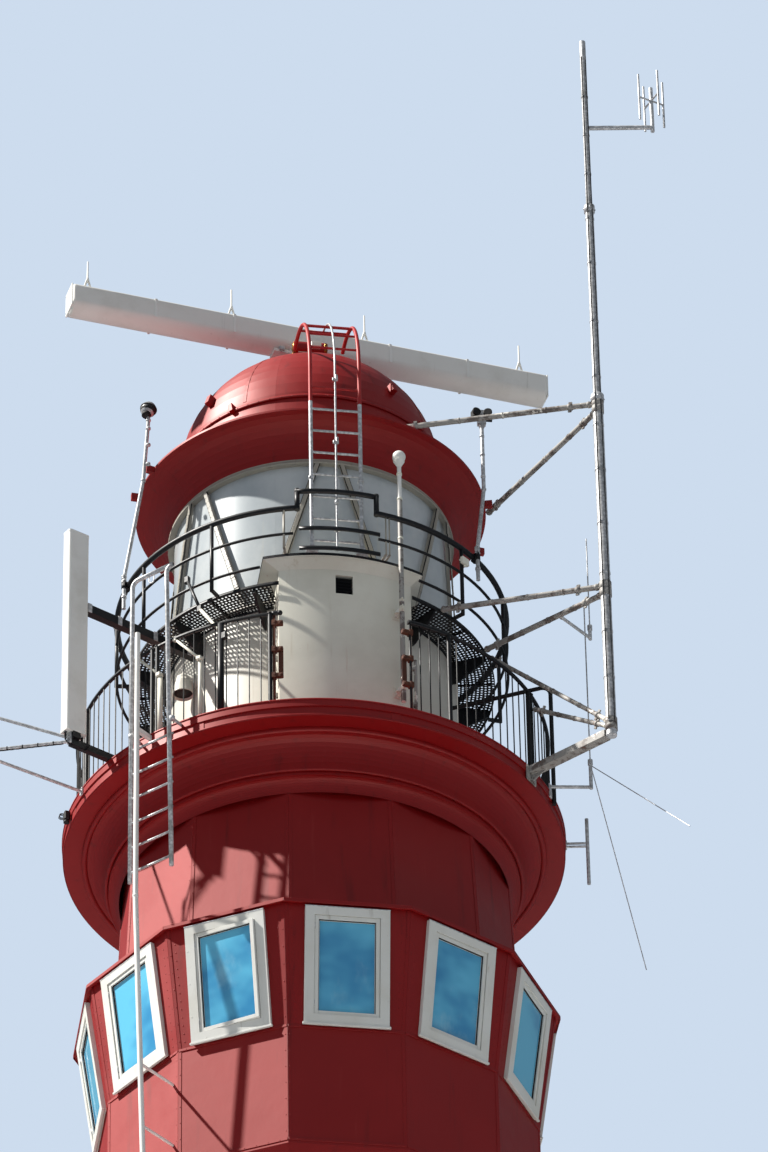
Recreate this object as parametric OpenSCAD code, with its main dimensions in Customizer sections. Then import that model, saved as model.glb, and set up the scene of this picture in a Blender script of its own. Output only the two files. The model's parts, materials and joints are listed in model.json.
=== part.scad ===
// Coastal lighthouse with a lookout cab, a gallery, a lantern and a rotating radar scanner.
// Millimetres, +Z up, origin at the middle of the underside, the roof ladder faces -Y.
// Azimuths are degrees from -Y towards +X.

/* [Tower] */
// Level of the gallery deck above the ground
deck_z = 30400; // [28000:100:30600]
// Width of the plinth's step around the shaft's foot
plinth_step = 700; // [600:50:1100]
// Height of the plinth
plinth_h = 450; // [200:10:700]
// Outer radius of the masonry shaft at the ground
shaft_foot_r = 3600; // [3300:50:3800]
// Outer radius of the masonry shaft under the cab
shaft_top_r = 1990; // [1900:10:2060]
// Masonry thickness at the ground
wall_foot_t = 1150; // [800:10:1300]
// Masonry thickness at the top
wall_top_t = 480; // [350:10:560]
// Thickness of the ground floor slab
floor_t = 120; // [80:5:200]

/* [Ground door and shaft windows] */
// Width of the ground doorway
door_w = 1000; // [800:10:1200]
// Height of the ground doorway above the floor
door_h = 2150; // [2000:10:2400]
// Thickness of the door leaf
door_t = 60; // [40:5:90]
// Width of a shaft window
slit_w = 560; // [400:10:700]
// Height of a shaft window
slit_h = 950; // [700:10:1200]

/* [Lookout cab] */
// Circumradius of the window ring at its top edge
cab_top_r = 2440; // [2380:10:2520]
// Circumradius of the cab at the window sill
cab_sill_r = 2240; // [2180:10:2300]
// Depth of the window ring's top edge below the deck
cab_top_d = 2360; // [2300:10:2500]
// Height of the window ring
cab_window_h = 1330; // [1320:10:1400]
// Height of the wall below the sill
cab_lower_h = 1350; // [1200:10:1500]
// Height of the sloping soffit under the cab
cab_soffit_h = 420; // [300:10:600]
// Thickness of the cab's wall panels
cab_wall_t = 60; // [50:5:70]
// Outer width of a cab window frame
frame_w = 845; // [780:5:880]
// Outer height of a cab window frame
frame_h = 1275; // [1150:5:1290]
// Face width of a cab window frame
frame_b = 95; // [70:5:120]
// How far a cab window frame stands proud of the wall
frame_proud = 45; // [30:5:70]

/* [Neck and cornice] */
// Circumradius of the neck under the cornice
neck_top_r = 2010; // [1960:10:2060]
// Circumradius of the neck where the cab roof meets it
neck_foot_r = 2075; // [2070:5:2150]
// Thickness of the neck's panels
neck_wall_t = 60; // [50:5:80]
// Rise of the cab roof from its edge to the neck
cab_roof_rise = 215; // [150:5:260]
// Depth of the cornice's lower edge below the deck
cornice_d = 740; // [700:10:820]
// Radius of the gallery deck
deck_r = 2600; // [2560:10:2700]
// Height of the deck's fascia
fascia_h = 200; // [150:5:240]

/* [Gallery] */
// Distance of the gallery railing's middle from the deck's edge
rail_inset = 145; // [120:5:170]
// Height of the gallery railing
rail_h = 1200; // [1050:10:1300]
// Outer radius of the lantern drum
drum_r = 1520; // [1480:10:1560]
// Thickness of the drum's wall
drum_t = 70; // [50:5:100]
// Depth of the housing's curved front before the drum
housing_reach = 350; // [280:10:400]
// Half width of the housing
housing_half_w = 695; // [600:5:750]
// Sideways offset of the housing's middle
housing_shift = 110; // [60:5:150]
// Height of the housing's wall
housing_h = 2290; // [2200:10:2340]

/* [Upper walkway] */
// Level of the grating's top above the deck
grating_z = 2015; // [1950:5:2100]
// Outer radius of the grating
grating_r = 1925; // [1900:5:1960]
// Radius of the upper handrail
handrail_r = 2060; // [2020:5:2100]
// Level of the upper handrail above the deck
handrail_z = 2850; // [2800:10:2950]
// Rise of the handrail where it steps over the roof ladder
handrail_step = 215; // [150:5:260]

/* [Lantern and roof] */
// Level of the glazing's top above the deck
glass_top_z = 3916; // [3850:5:3990]
// Thickness of the lantern glass
glass_t = 12; // [8:1:20]
// Radius of the eave
eave_r = 1877; // [1840:5:1910]
// Level of the eave above the deck
eave_z = 4300; // [4250:5:4350]
// Outer radius of the dome
dome_r = 1420; // [1400:5:1440]
// Level of the dome's centre above the deck
dome_z = 4772; // [4750:5:4800]
// Thickness of the dome's plate
dome_t = 30; // [20:2:50]
// Distance of the roof ladder's stiles from the axis, along its straight part
ladder_r = 1965; // [1950:5:2000]
// Distance between the roof ladder's stiles
ladder_w = 520; // [420:10:560]

/* [Radar scanner] */
// Length of the scanner
scanner_l = 5350; // [4800:50:5600]
// Height of the scanner's section
scanner_h = 365; // [300:5:400]
// Depth of the scanner's section
scanner_d = 300; // [240:5:340]
// Level of the scanner's underside above the dome's top
scanner_lift = 310; // [280:5:360]
// Turn of the scanner at rest
scanner_turn = 10; // [-30:1:30]

/* [Mast and aerials] */
// Distance of the mast from the deck's edge
mast_reach = 1050; // [1000:10:1100]
// Azimuth of the mast
mast_az = 47.9; // [44:0.1:52]
// Diameter of the mast at its foot
mast_d = 110; // [90:5:130]
// Level of the mast's top above the deck
mast_top = 9250; // [9000:10:9350]
// Height of the panel aerial
panel_h = 2560; // [2200:10:2700]
// Distance of the side ladder from the deck's edge
side_ladder_gap = 140; // [120:5:180]

/* [Hidden] */

$fn = 240;
red = [0.72, 0.13, 0.14];
white = [0.90, 0.90, 0.87];
cream = [0.87, 0.85, 0.76];
black = [0.10, 0.10, 0.11];
steel = [0.66, 0.66, 0.65];
rust = [0.50, 0.27, 0.16];
pane = [0.35, 0.62, 0.75, 0.5];
clear = [0.80, 0.85, 0.88, 0.4];
timber = [0.30, 0.36, 0.32];

// Clearances between pieces
seam = 0.5;
seat = 0.3;

// The twelve sides of the cab and neck
sides = 12;
side_angle = 360 / sides;
corner = cos(side_angle / 2);

// Radii
plinth_r = shaft_foot_r + plinth_step;
rail_r = deck_r - rail_inset;
housing_r = drum_r + housing_reach;
mast_r = deck_r + mast_reach;
side_ladder_r = deck_r + side_ladder_gap;

// Levels
cab_top_z = deck_z - cab_top_d;
sill_z = cab_top_z - cab_window_h;
cab_bottom_z = sill_z - cab_lower_h;
shaft_top_z = cab_bottom_z - cab_soffit_h;
neck_foot_z = cab_top_z + cab_roof_rise;
cornice_z = deck_z - cornice_d;
door_tier_h = 3400;
tiers = 4;
tier_h = (shaft_top_z - door_tier_h) / tiers;
segments = 8;
cab_floor_t = 120;
deck_t = 90;

function polar(r, a, z = 0) = [r * sin(a), -r * cos(a), z];
function shaft_r(z) = shaft_foot_r + (shaft_top_r - shaft_foot_r) * z / shaft_top_z;
function wall_t(z) = wall_foot_t + (wall_top_t - wall_foot_t) * z / shaft_top_z;

// Children stand at an azimuth and radius, with local +X outwards
module at(a, r, z = 0) {
    rotate([0, 0, a - 90]) translate([r, 0, z]) children();
}

// A round bar between two points
module bar(p, q, d) {
    v = q - p;
    length = norm(v);
    translate(p) rotate([0, acos(v.z / length), atan2(v.y, v.x)]) cylinder(h = length, d = d, $fn = 16);
}

// A square bar between two points, one face level
module beam(p, q, w, h) {
    v = q - p;
    length = norm(v);
    translate(p) rotate([0, -asin(v.z / length), atan2(v.y, v.x)]) translate([0, -w / 2, -h / 2]) cube([length, w, h]);
}

// A flat ring
module ring(r_out, r_in, h) {
    difference() {
        cylinder(r = r_out, h = h);
        translate([0, 0, -1]) cylinder(r = r_in, h = h + 2);
    }
}

// Part of a turned ring between two azimuths, from a profile of [radius, level]
module turned(profile, from = 0, sweep = 360) {
    rotate_extrude(angle = sweep, start = from - 90) polygon(profile);
}

// Distance from an eight-sided rail's middle to its flat
function rail_flat(d) = d / 2 * cos(22.5);

// An eight-sided rail along part of a circle
module rail(r, z, d, from = 0, sweep = 360) {
    rotate_extrude(angle = sweep, start = from - 90) translate([r, z]) rotate(22.5) circle(d = d, $fn = 8);
}

// One side of the twelve-sided walls, from a profile of [circumradius, level], mitred at the corners
module facet(profile) {
    reach = 3200;
    half = reach * tan(side_angle / 2) - seam / 2;
    intersection() {
        rotate([90, 0, 0]) linear_extrude(2 * reach, center = true)
            polygon([for (p = profile) [p.x * corner, p.y]]);
        linear_extrude(deck_z + 1000) polygon([[0, -seam / 2 + 0.1], [reach, -half], [reach, half], [0, seam / 2 - 0.1]]);
    }
}

module facets(profile) {
    for (k = [0:sides - 1]) rotate([0, 0, k * side_angle - 90]) facet(profile);
}

// Masonry shaft

module shaft_tier(z0, z1) {
    r0 = shaft_r(z0);
    r1 = shaft_r(z1);
    sweep = 360 / segments;
    joint = 0.01;
    for (k = [0:segments - 1])
        turned([[r0 - wall_t(z0), z0], [r0, z0], [r1, z1], [r1 - wall_t(z1), z1]],
            (k - 0.5) * sweep, sweep - joint);
}

slit_levels = [for (k = [0:tiers - 2]) door_tier_h + (k + 0.55) * tier_h];
slit_azimuths = [0, 180, 0];

module slit(k, extra = 0) {
    z = slit_levels[k];
    at(slit_azimuths[k], shaft_r(z), z)
        translate([-wall_foot_t - 300, -slit_w / 2 - extra, -slit_h / 2 - extra])
            cube([wall_foot_t + 900, slit_w + 2 * extra, slit_h + 2 * extra]);
}

module doorway(extra = 0) {
    translate([-door_w / 2 - extra, -plinth_r - 100, floor_t])
        cube([door_w + 2 * extra, plinth_r - shaft_foot_r + wall_foot_t + 400, door_h + extra]);
}

module threshold() {
    translate([-door_w / 2, -plinth_r - 100, -1])
        cube([door_w, plinth_r - shaft_foot_r + wall_foot_t + 400, floor_t + 2]);
}

module plinth() {
    color(red) difference() {
        for (k = [0:segments - 1])
            turned([[shaft_r(0) + seam, 0], [plinth_r, 0], [plinth_r, plinth_h - 120],
                [plinth_r - 120, plinth_h], [shaft_r(plinth_h) + seam, plinth_h]],
                (k - 0.5) * 360 / segments, 360 / segments - 0.01);
        doorway();
        threshold();
    }
}

module ground_floor() {
    color("gray") union() {
        cylinder(r = shaft_r(floor_t) - wall_t(floor_t) - seam, h = floor_t);
        translate([-door_w / 2 + seat, -plinth_r, 0])
            cube([door_w - 2 * seat, plinth_r - shaft_foot_r + wall_foot_t + 60, floor_t]);
    }
}

module shaft_base() {
    color(red) difference() {
        shaft_tier(0, door_tier_h);
        doorway();
        threshold();
    }
}

module shaft_part(k) {
    color(red) difference() {
        shaft_tier(door_tier_h + k * tier_h, door_tier_h + (k + 1) * tier_h);
        if (k < tiers - 1) slit(k);
    }
}

module shaft_lower() shaft_part(0);
module shaft_middle() shaft_part(1);
module shaft_upper() shaft_part(2);
module shaft_top() shaft_part(3);

slit_frame = 60;
slit_depth = 180;

module slit_frame_at(k) {
    z = slit_levels[k];
    at(slit_azimuths[k], shaft_r(z) - slit_depth, z) difference() {
        translate([-70, -slit_w / 2 + seat, -slit_h / 2 + seat]) cube([70, slit_w - 2 * seat, slit_h - 2 * seat]);
        translate([-80, -slit_w / 2 + slit_frame, -slit_h / 2 + slit_frame])
            cube([90, slit_w - 2 * slit_frame, slit_h - 2 * slit_frame]);
    }
}

module shaft_window_frames() color(white) for (k = [0:tiers - 2]) slit_frame_at(k);

module shaft_window_glass() {
    color(pane) for (k = [0:tiers - 2]) {
        z = slit_levels[k];
        at(slit_azimuths[k], shaft_r(z) - slit_depth - 45, z)
            translate([0, -slit_w / 2 + slit_frame + seat, -slit_h / 2 + slit_frame + seat])
                cube([10, slit_w - 2 * slit_frame - 2 * seat, slit_h - 2 * slit_frame - 2 * seat]);
    }
}

door_y = -shaft_foot_r + 250;
jamb = 90;

module door_frame() {
    color(white) translate([0, door_y, floor_t]) difference() {
        translate([-door_w / 2 + seat, 0, seat]) cube([door_w - 2 * seat, 120, door_h - 2 * seat]);
        translate([-door_w / 2 + jamb, -1, -1]) cube([door_w - 2 * jamb, 122, door_h - jamb + 1]);
    }
}

module door_leaf() {
    gap = 4;
    leaf_w = door_w - 2 * jamb - 2 * gap;
    leaf_h = door_h - jamb - 2 * gap;
    proud = 1;
    strap = 9;
    color(timber) translate([-leaf_w / 2, door_y, floor_t + gap]) union() {
        translate([0, -proud, 0]) cube([leaf_w, door_t, leaf_h]);
        for (z = [200, leaf_h - 260]) translate([-gap - 50, -strap, z]) cube([leaf_w * 0.7, strap - seat, 60]);
    }
}

// Lookout cab

soffit_lip = 40;

module cab_soffit() {
    bearing_r = (shaft_top_r - wall_top_t / 2) / corner;
    top = cab_bottom_z + soffit_lip;
    color(red) facets([[bearing_r, shaft_top_z + seat], [shaft_top_r / corner + 4, shaft_top_z + seat],
        [cab_sill_r, cab_bottom_z], [cab_sill_r, top], [bearing_r, top]]);
}

module cab_floor() {
    color("gray") translate([0, 0, cab_bottom_z + soffit_lip + seat]) rotate([0, 0, side_angle / 2])
        cylinder(r = cab_sill_r - (cab_wall_t + 1) / corner, h = cab_floor_t, $fn = sides);
}

module cab_lower_wall() {
    t = cab_wall_t / corner;
    foot = cab_bottom_z + soffit_lip + seat;
    color(red) facets([[cab_sill_r - t, foot], [cab_sill_r, foot], [cab_sill_r, sill_z], [cab_sill_r - t, sill_z]]);
}

lean = atan((cab_top_r - cab_sill_r) * corner / cab_window_h);

// Children lie on the middle of each leaning window side, with local +X out of the wall and +Z up it
module on_window_sides() {
    for (k = [0:sides - 1])
        at(k * side_angle, (cab_top_r + cab_sill_r) / 2 * corner, (cab_top_z + sill_z) / 2)
            rotate([0, lean, 0]) children();
}

frame_in = 30;

module cab_window_wall() {
    t = cab_wall_t / corner;
    color(red) difference() {
        facets([[cab_sill_r - t, sill_z + seat], [cab_sill_r, sill_z + seat], [cab_top_r, cab_top_z], [cab_top_r - t, cab_top_z]]);
        on_window_sides() translate([-300, -frame_w / 2 + frame_in, -frame_h / 2 + frame_in])
            cube([600, frame_w - 2 * frame_in, frame_h - 2 * frame_in]);
    }
}

module cab_window_frames() {
    color(white) on_window_sides() difference() {
        union() {
            translate([seat, -frame_w / 2, -frame_h / 2]) cube([frame_proud, frame_w, frame_h]);
            translate([-cab_wall_t + 5, -frame_w / 2 + frame_in + seat, -frame_h / 2 + frame_in + seat])
                cube([cab_wall_t, frame_w - 2 * frame_in - 2 * seat, frame_h - 2 * frame_in - 2 * seat]);
        }
        translate([-cab_wall_t, -frame_w / 2 + frame_b, -frame_h / 2 + frame_b])
            cube([cab_wall_t + frame_proud + 10, frame_w - 2 * frame_b, frame_h - 2 * frame_b]);
    }
}

module cab_window_glass() {
    color(pane) on_window_sides() translate([-10, -frame_w / 2 + frame_b + seat, -frame_h / 2 + frame_b + seat])
        cube([12, frame_w - 2 * frame_b - 2 * seat, frame_h - 2 * frame_b - 2 * seat]);
}

module cab_roof() {
    lip = 45;
    plate = 25;
    color(red) facets([[neck_foot_r + 2, neck_foot_z], [neck_foot_r + 2, neck_foot_z - plate],
        [cab_top_r - 70, cab_top_z + seat], [cab_top_r + lip, cab_top_z + seat], [cab_top_r + lip, cab_top_z + plate]]);
}

// Neck, cornice and deck

module neck() {
    t = neck_wall_t / corner;
    color(red) facets([[neck_foot_r - t, neck_foot_z - 25], [neck_foot_r, neck_foot_z - 25],
        [neck_top_r, cornice_z], [neck_top_r, deck_z - fascia_h - 100], [neck_top_r - t, deck_z - fascia_h - 100]]);
}

cove_steps = 8;

// Quarter round hollow from one [radius, level] to another, centred outside and below
function cove(p, q) = [for (i = [0:cove_steps])
    let (a = 90 * i / cove_steps) [p.x - (p.x - q.x) * sin(a), q.y + (p.y - q.y) * cos(a)]];
// Half round bead that hangs from one radius to a smaller one
function bead(r_from, r_to, z) = [for (i = [0:cove_steps])
    let (a = 180 * i / cove_steps) [(r_from + r_to) / 2 + (r_from - r_to) / 2 * cos(a), z - (r_from - r_to) / 2 * sin(a)]];

module cornice() {
    base = deck_z - fascia_h;
    inner = neck_top_r + 1;
    fascia_r = deck_r - 15;
    upper_r = deck_r - 200;
    upper_bead = 60;
    lower_r = deck_r - 440;
    lower_bead = 40;
    color(red) for (k = [0:segments - 1]) turned(concat(
        [[inner, deck_z - deck_t - seat], [fascia_r, deck_z - deck_t - seat], [fascia_r, base], [upper_r, base]],
        bead(upper_r, upper_r - upper_bead, base - 20),
        cove([upper_r - upper_bead, base - 30], [lower_r, base - 330]),
        bead(lower_r, lower_r - lower_bead, base - 345),
        cove([lower_r - lower_bead, base - 400], [inner, cornice_z])),
        (k - 0.5) * 360 / segments, 360 / segments - 0.02);
}

module gallery_deck() {
    color(red) translate([0, 0, deck_z - deck_t]) cylinder(r = deck_r, h = deck_t);
}

bays = 10;
rail_gap_from = -17;
rail_gap_to = 26;
rail_sweep = (360 - (rail_gap_to - rail_gap_from)) / bays;
post_d = 46;

module gallery_railing() {
    bay_bars = 10;
    lower = deck_z + 90;
    color(black) for (k = [0:bays - 1]) {
        from = rail_gap_to + k * rail_sweep + 0.2;
        to = from + rail_sweep - 0.4;
        union() {
            rail(rail_r, deck_z + rail_h, 42, from, to - from);
            turned([[rail_r - 20, lower - 6], [rail_r + 20, lower - 6], [rail_r + 20, lower + 6], [rail_r - 20, lower + 6]],
                from, to - from);
            for (a = [from + 0.6, to - 0.6]) at(a, rail_r, deck_z + seat) cylinder(d = post_d, h = rail_h - seat, $fn = 16);
            for (i = [1:bay_bars]) at(from + (to - from) * i / (bay_bars + 1), rail_r, lower)
                cylinder(d = 14, h = deck_z + rail_h - lower, $fn = 8);
        }
    }
}

module drum() {
    n = 8;
    color(white) for (k = [0:n - 1])
        turned([[drum_r - drum_t, deck_z + seat], [drum_r, deck_z + seat], [drum_r, deck_z + grating_z + 45],
            [drum_r - drum_t, deck_z + grating_z + 45]], (k - 0.5) * 360 / n, 360 / n - 0.02);
}

// Cowl vents around the drum
vent_azimuths = [-62, -118, 100, 140, 180];
vent_z = 1450;

module drum_vents() {
    reach = 130;
    pipe = 150;
    mouth = 220;
    drop = 190;
    color(white) for (a = vent_azimuths) at(a, drum_r + seam, deck_z + vent_z) union() {
        rotate([0, 90, 0]) cylinder(d = pipe, h = reach, $fn = 32);
        translate([reach, 0, 0]) sphere(d = pipe, $fn = 32);
        translate([reach, 0, -drop]) cylinder(d1 = mouth, d2 = pipe, h = drop, $fn = 32);
    }
}

// Housing in front of the drum

housing_roof_t = 45;

module housing_outline(r, half_w) {
    intersection() {
        circle(r = r);
        translate([housing_shift - half_w, -r - 10]) square([2 * half_w, r + 10 - (drum_r + 2) * 0.82]);
    }
}

module housing_wall() {
    t = 50;
    opening_z = housing_h - 400;
    color(cream) translate([0, 0, deck_z + seat]) difference() {
        linear_extrude(housing_h - seat) difference() {
            housing_outline(housing_r, housing_half_w);
            circle(r = drum_r + seam);
            intersection() {
                circle(r = housing_r - t);
                translate([housing_shift - housing_half_w + t, -housing_r]) square([2 * (housing_half_w - t), housing_r]);
            }
        }
        at(2.6, housing_r, opening_z) translate([-100, -90, 0]) cube([200, 180, 235]);
    }
}

module housing_roof() {
    color(cream) translate([0, 0, deck_z + housing_h + seat]) linear_extrude(housing_roof_t) difference() {
        housing_outline(housing_r + 80, housing_half_w + 90);
        circle(r = drum_r + 25);
    }
}

module housing_brackets() {
    color(rust) for (x = [housing_shift - housing_half_w - 35, housing_shift + housing_half_w + 35])
        translate([x, -housing_r + 205, deck_z + seat]) union() {
            cylinder(d = 34, h = 1250, $fn = 16);
            for (z = [250, 650, 1120]) translate([x < 0 ? -8 : -35 + seat, -20, z]) cube([43 - seat, 40, 50]);
        }
}

// Upper walkway

module walkway_grating() {
    n = 8;
    color(black) difference() {
        for (k = [0:n - 1]) turned([[drum_r + seam, deck_z + grating_z - 30], [grating_r, deck_z + grating_z - 30],
            [grating_r, deck_z + grating_z + 12], [grating_r - 12, deck_z + grating_z + 12],
            [grating_r - 12, deck_z + grating_z], [drum_r + seam, deck_z + grating_z]],
            (k - 0.5) * 360 / n, 360 / n - 0.02);
        translate([housing_shift - housing_half_w - seam, -grating_r - 50, deck_z + grating_z - 100])
            cube([2 * housing_half_w + 2 * seam, grating_r, 200]);
    }
}

module walkway_brackets() {
    n = 12;
    color(black) for (k = [0:n - 1]) if (k != 0)
        at(k * 360 / n + 4, drum_r + seam, deck_z + grating_z - 30 - seat) rotate([90, 0, 0])
            linear_extrude(24, center = true)
                polygon([[0, 0], [grating_r - drum_r - 20, 0], [grating_r - drum_r - 20, -50], [70, -260], [0, -260]]);
}

step_from = -10.9;
step_to = 12.4;
stile_face_r = norm([ladder_w / 2, ladder_r]) + 21;

mid_rails = [380, 700];
step_rails = [130, 420];
handrail_post_d = 40;

module upper_handrail() {
    spans = 12;
    gap = 0.01;
    span = (360 - (step_to - step_from)) / spans;
    end_post = 4;
    lead = 1.2;
    top = deck_z + handrail_z;
    step_top = top + handrail_step;
    roof_top = deck_z + housing_h + housing_roof_t + 2 * seat;
    color(black) for (k = [0:spans - 1]) {
        from = step_to + k * span + gap;
        to = from + span - 2 * gap;
        union() {
            rail(handrail_r, top, 48, from, to - from);
            for (drop = mid_rails) rail(handrail_r, top - drop, 30, from, to - from);
            if (k > 0) at(from + lead, handrail_r, deck_z + grating_z - 60) {
                cylinder(d = handrail_post_d, h = handrail_z - grating_z + 60, $fn = 16);
                translate([grating_r + seat - handrail_r, -15, 30]) cube([handrail_r - grating_r, 30, 40]);
            }
            if (k == 0) housing_post(from + end_post, roof_top, top);
            if (k == spans - 1) housing_post(to - end_post, roof_top, top);
        }
    }
    color(black) union() {
        rail(handrail_r, step_top, 48, step_from - lead, step_to - step_from + 2 * lead);
        for (a = [step_from - lead, step_to + lead]) at(a, handrail_r, top + rail_flat(48) + seat)
            cylinder(d = 50, h = handrail_step - 24, $fn = 16);
    }
    color(black) for (drop = step_rails)
        turned([[stile_face_r + seat, top - drop - 22], [stile_face_r + 40, top - drop - 22],
            [stile_face_r + 40, top - drop + 22], [stile_face_r + seat, top - drop + 22]], step_from, step_to - step_from);
}

// A handrail post on the edge of the housing's roof
module housing_post(a, foot, top) {
    at(a, handrail_r, foot) {
        cylinder(d = handrail_post_d, h = top - foot, $fn = 16);
        translate([housing_r + 20 - handrail_r, -15, 0]) cube([handrail_r - housing_r - 20, 30, 36]);
    }
}

// Lantern

pairs = 6;
top_half = 4.6;
foot_half = 24.6;
glass_foot_z = grating_z + 45;

module lantern_bars() {
    foot = deck_z + glass_foot_z;
    head = deck_z + glass_top_z;
    ring_h = 50;
    ring_w = 60;
    half = 180 / pairs;
    gap = 0.01;
    color(cream) for (k = [0:pairs - 1]) for (s = [-1, 1]) {
        from = k * 2 * half + (s < 0 ? -half : 0) + gap;
        union() {
            for (z = [foot + seat, head - ring_h]) turned([[drum_r - ring_w, z], [drum_r, z],
                [drum_r, z + ring_h], [drum_r - ring_w, z + ring_h]], from, half - 2 * gap);
            beam(polar(drum_r - 22, k * 2 * half + s * foot_half, foot + 20),
                polar(drum_r - 22, k * 2 * half + s * top_half, head - 20), 34, 40);
        }
    }
}

module lantern_glass() {
    n = 8;
    r = drum_r - 62;
    color(clear) for (k = [0:n - 1])
        turned([[r - glass_t, deck_z + glass_foot_z + seat], [r, deck_z + glass_foot_z + seat],
            [r, deck_z + glass_top_z - seat], [r - glass_t, deck_z + glass_top_z - seat]],
            (k - 0.5) * 360 / n, 360 / n - 0.02);
}

eave_edge = 24;

// Eave with a hollow soffit, from the glazing's top out to the rim and back over to the dome's foot
module lantern_roof() {
    in_r = drum_r - 75;
    low = glass_top_z + seat;
    soffit = [for (i = [0:cove_steps]) let (a = 90 * i / cove_steps)
        [eave_r - (eave_r - drum_r) * cos(a), low + (eave_z - low) * sin(a)]];
    skirt = [for (i = [0:cove_steps]) let (a = 90 * i / cove_steps)
        [dome_r + 4 + (eave_r - dome_r - 4) * (1 - cos(a)), dome_z - (dome_z - eave_z - eave_edge) * sin(a)]];
    n = 8;
    color(red) for (k = [0:n - 1]) translate([0, 0, deck_z])
        turned(concat([[in_r, low]], [for (i = [0:cove_steps]) soffit[i]],
            [for (i = [cove_steps:-1:0]) skirt[i]], [[dome_r - dome_t - 60, dome_z], [in_r, low + 120]]),
            (k - 0.5) * 360 / n, 360 / n - 0.02);
}

module dome() {
    n = 8;
    r_in = dome_r - dome_t;
    steps = 14;
    hatch = 6;
    color(red) for (k = [0:n - 1]) translate([0, 0, deck_z + dome_z + seat])
        turned(concat([for (i = [0:steps]) let (a = i * (90 - hatch) / steps) [dome_r * cos(a), dome_r * sin(a)]],
            [for (i = [steps:-1:0]) let (a = i * (90 - hatch) / steps) [r_in * cos(a), r_in * sin(a)]]),
            (k - 0.5) * 360 / n, 360 / n - 0.05);
}

module dome_lugs() {
    color(red) for (a = [-58, 32, 122, 212]) {
        up = 18;
        at(a, 0, deck_z + dome_z + seat) rotate([0, -up, 0]) translate([dome_r + seat, -30, -60]) cube([70, 60, 120]);
    }
    color(red) for (a = [75, 100, -85, -70, 170, 190]) at(a, eave_r + seat, deck_z + eave_z - 55) translate([0, -25, 0])
        cube([80, 50, 80]);
}

// Roof ladder: straight up to the dome's centre level, then a quarter turn over the dome

ladder_arc_z = dome_z + 30;
ladder_arc_r = 1185;
ladder_foot = deck_z + housing_h + housing_roof_t + 2 * seat;
rung = 290;
stile_d = 42;
rung_d = 26;

// Level where the bare lower length ends and the painted upper one begins
ladder_joint = deck_z + eave_z + 20;

// The straight part of a rail of the ladder's shape, at a radius out from the stiles' line
module ladder_upright(out, d, from, to) {
    translate([0, -ladder_r - out, from]) cylinder(d = d, h = to - from, $fn = 16);
}

// The bent part of such a rail, in the plane x = 0
module ladder_bend(out, d, turn) {
    translate([0, ladder_arc_r - ladder_r, deck_z + ladder_arc_z]) rotate([0, -90, 0])
        rotate_extrude(angle = turn, start = 270) translate([ladder_arc_r + out, 0]) circle(d = d, $fn = 16);
}

module rung_at(y, z) {
    translate([-ladder_w / 2, y, z]) rotate([0, 90, 0]) cylinder(d = rung_d, h = ladder_w, $fn = 12);
}

first_rung = ladder_foot + 150;
lower_rungs = floor((ladder_joint - first_rung - rung_d) / rung);

module roof_ladder() {
    color(steel) union() {
        for (x = [-ladder_w / 2, ladder_w / 2]) translate([x, 0, 0]) {
            ladder_upright(0, stile_d, ladder_foot + 12, ladder_joint);
            translate([-60, -ladder_r - 20, ladder_foot]) cube([120, 130, 14]);
        }
        for (i = [0:lower_rungs]) rung_at(-ladder_r, first_rung + i * rung);
    }
}

module dome_ladder() {
    arc_z = deck_z + ladder_arc_z;
    foot = ladder_joint + seat;
    upper_rungs = floor((arc_z - 60 - first_rung) / rung);
    color(red) union() {
        for (x = [-ladder_w / 2, ladder_w / 2]) translate([x, 0, 0]) {
            ladder_upright(0, stile_d, foot, arc_z);
            ladder_bend(0, stile_d, 90);
        }
        for (i = [lower_rungs + 1:upper_rungs]) rung_at(-ladder_r, first_rung + i * rung);
        for (a = [14:14:70]) rung_at(ladder_arc_r - ladder_r - ladder_arc_r * cos(a), arc_z + ladder_arc_r * sin(a));
    }
}

module arrest_rail() {
    d = 22;
    out = (rung_d + d) / 2 + seat;
    color(white) union() {
        ladder_upright(out, d, ladder_foot + 12, deck_z + ladder_arc_z);
        ladder_bend(out, d, 72);
    }
}

// Radar scanner

scanner_z = deck_z + dome_z + dome_r + scanner_lift;
crown_z = deck_z + dome_z + seat + dome_r * sin(84);
hub_z = scanner_z - 110;
bearing_gap = 8;
shaft_d = 120;
shaft_clearance = 0.05;
shaft_depth = 90;

module scanner_pedestal() {
    flange = 30;
    motor_d = 150;
    motor_y = -337;
    body = hub_z - bearing_gap - crown_z - seat;
    color(red) difference() {
        translate([0, 0, crown_z + seat]) union() {
            cylinder(d = 520, h = flange);
            cylinder(d = 330, h = body);
            translate([-216, motor_y, body - 14]) rotate([0, 90, 0]) cylinder(d = motor_d, h = 366, $fn = 48);
            translate([-55, motor_y, body - 14 - motor_d / 2]) cube([110, -motor_y - 100, motor_d / 2]);
            for (x = [-130, 90]) bar([x * 0.8, -230, flange / 2], [x, motor_y, body - 50], 30);
        }
        translate([0, 0, hub_z - bearing_gap - shaft_depth - 10]) cylinder(d = shaft_d + 2 * shaft_clearance, h = shaft_depth + 100);
    }
}

module scanner_hub() {
    color(white) union() {
        translate([0, 0, hub_z - bearing_gap - shaft_depth]) cylinder(d = shaft_d, h = shaft_depth + bearing_gap + 20);
        translate([0, 0, hub_z]) cylinder(d = 340, h = 75);
        rotate([0, 0, scanner_turn]) translate([-420, -90, hub_z + 70]) cube([840, 180, 40 - seat]);
    }
}

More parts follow.
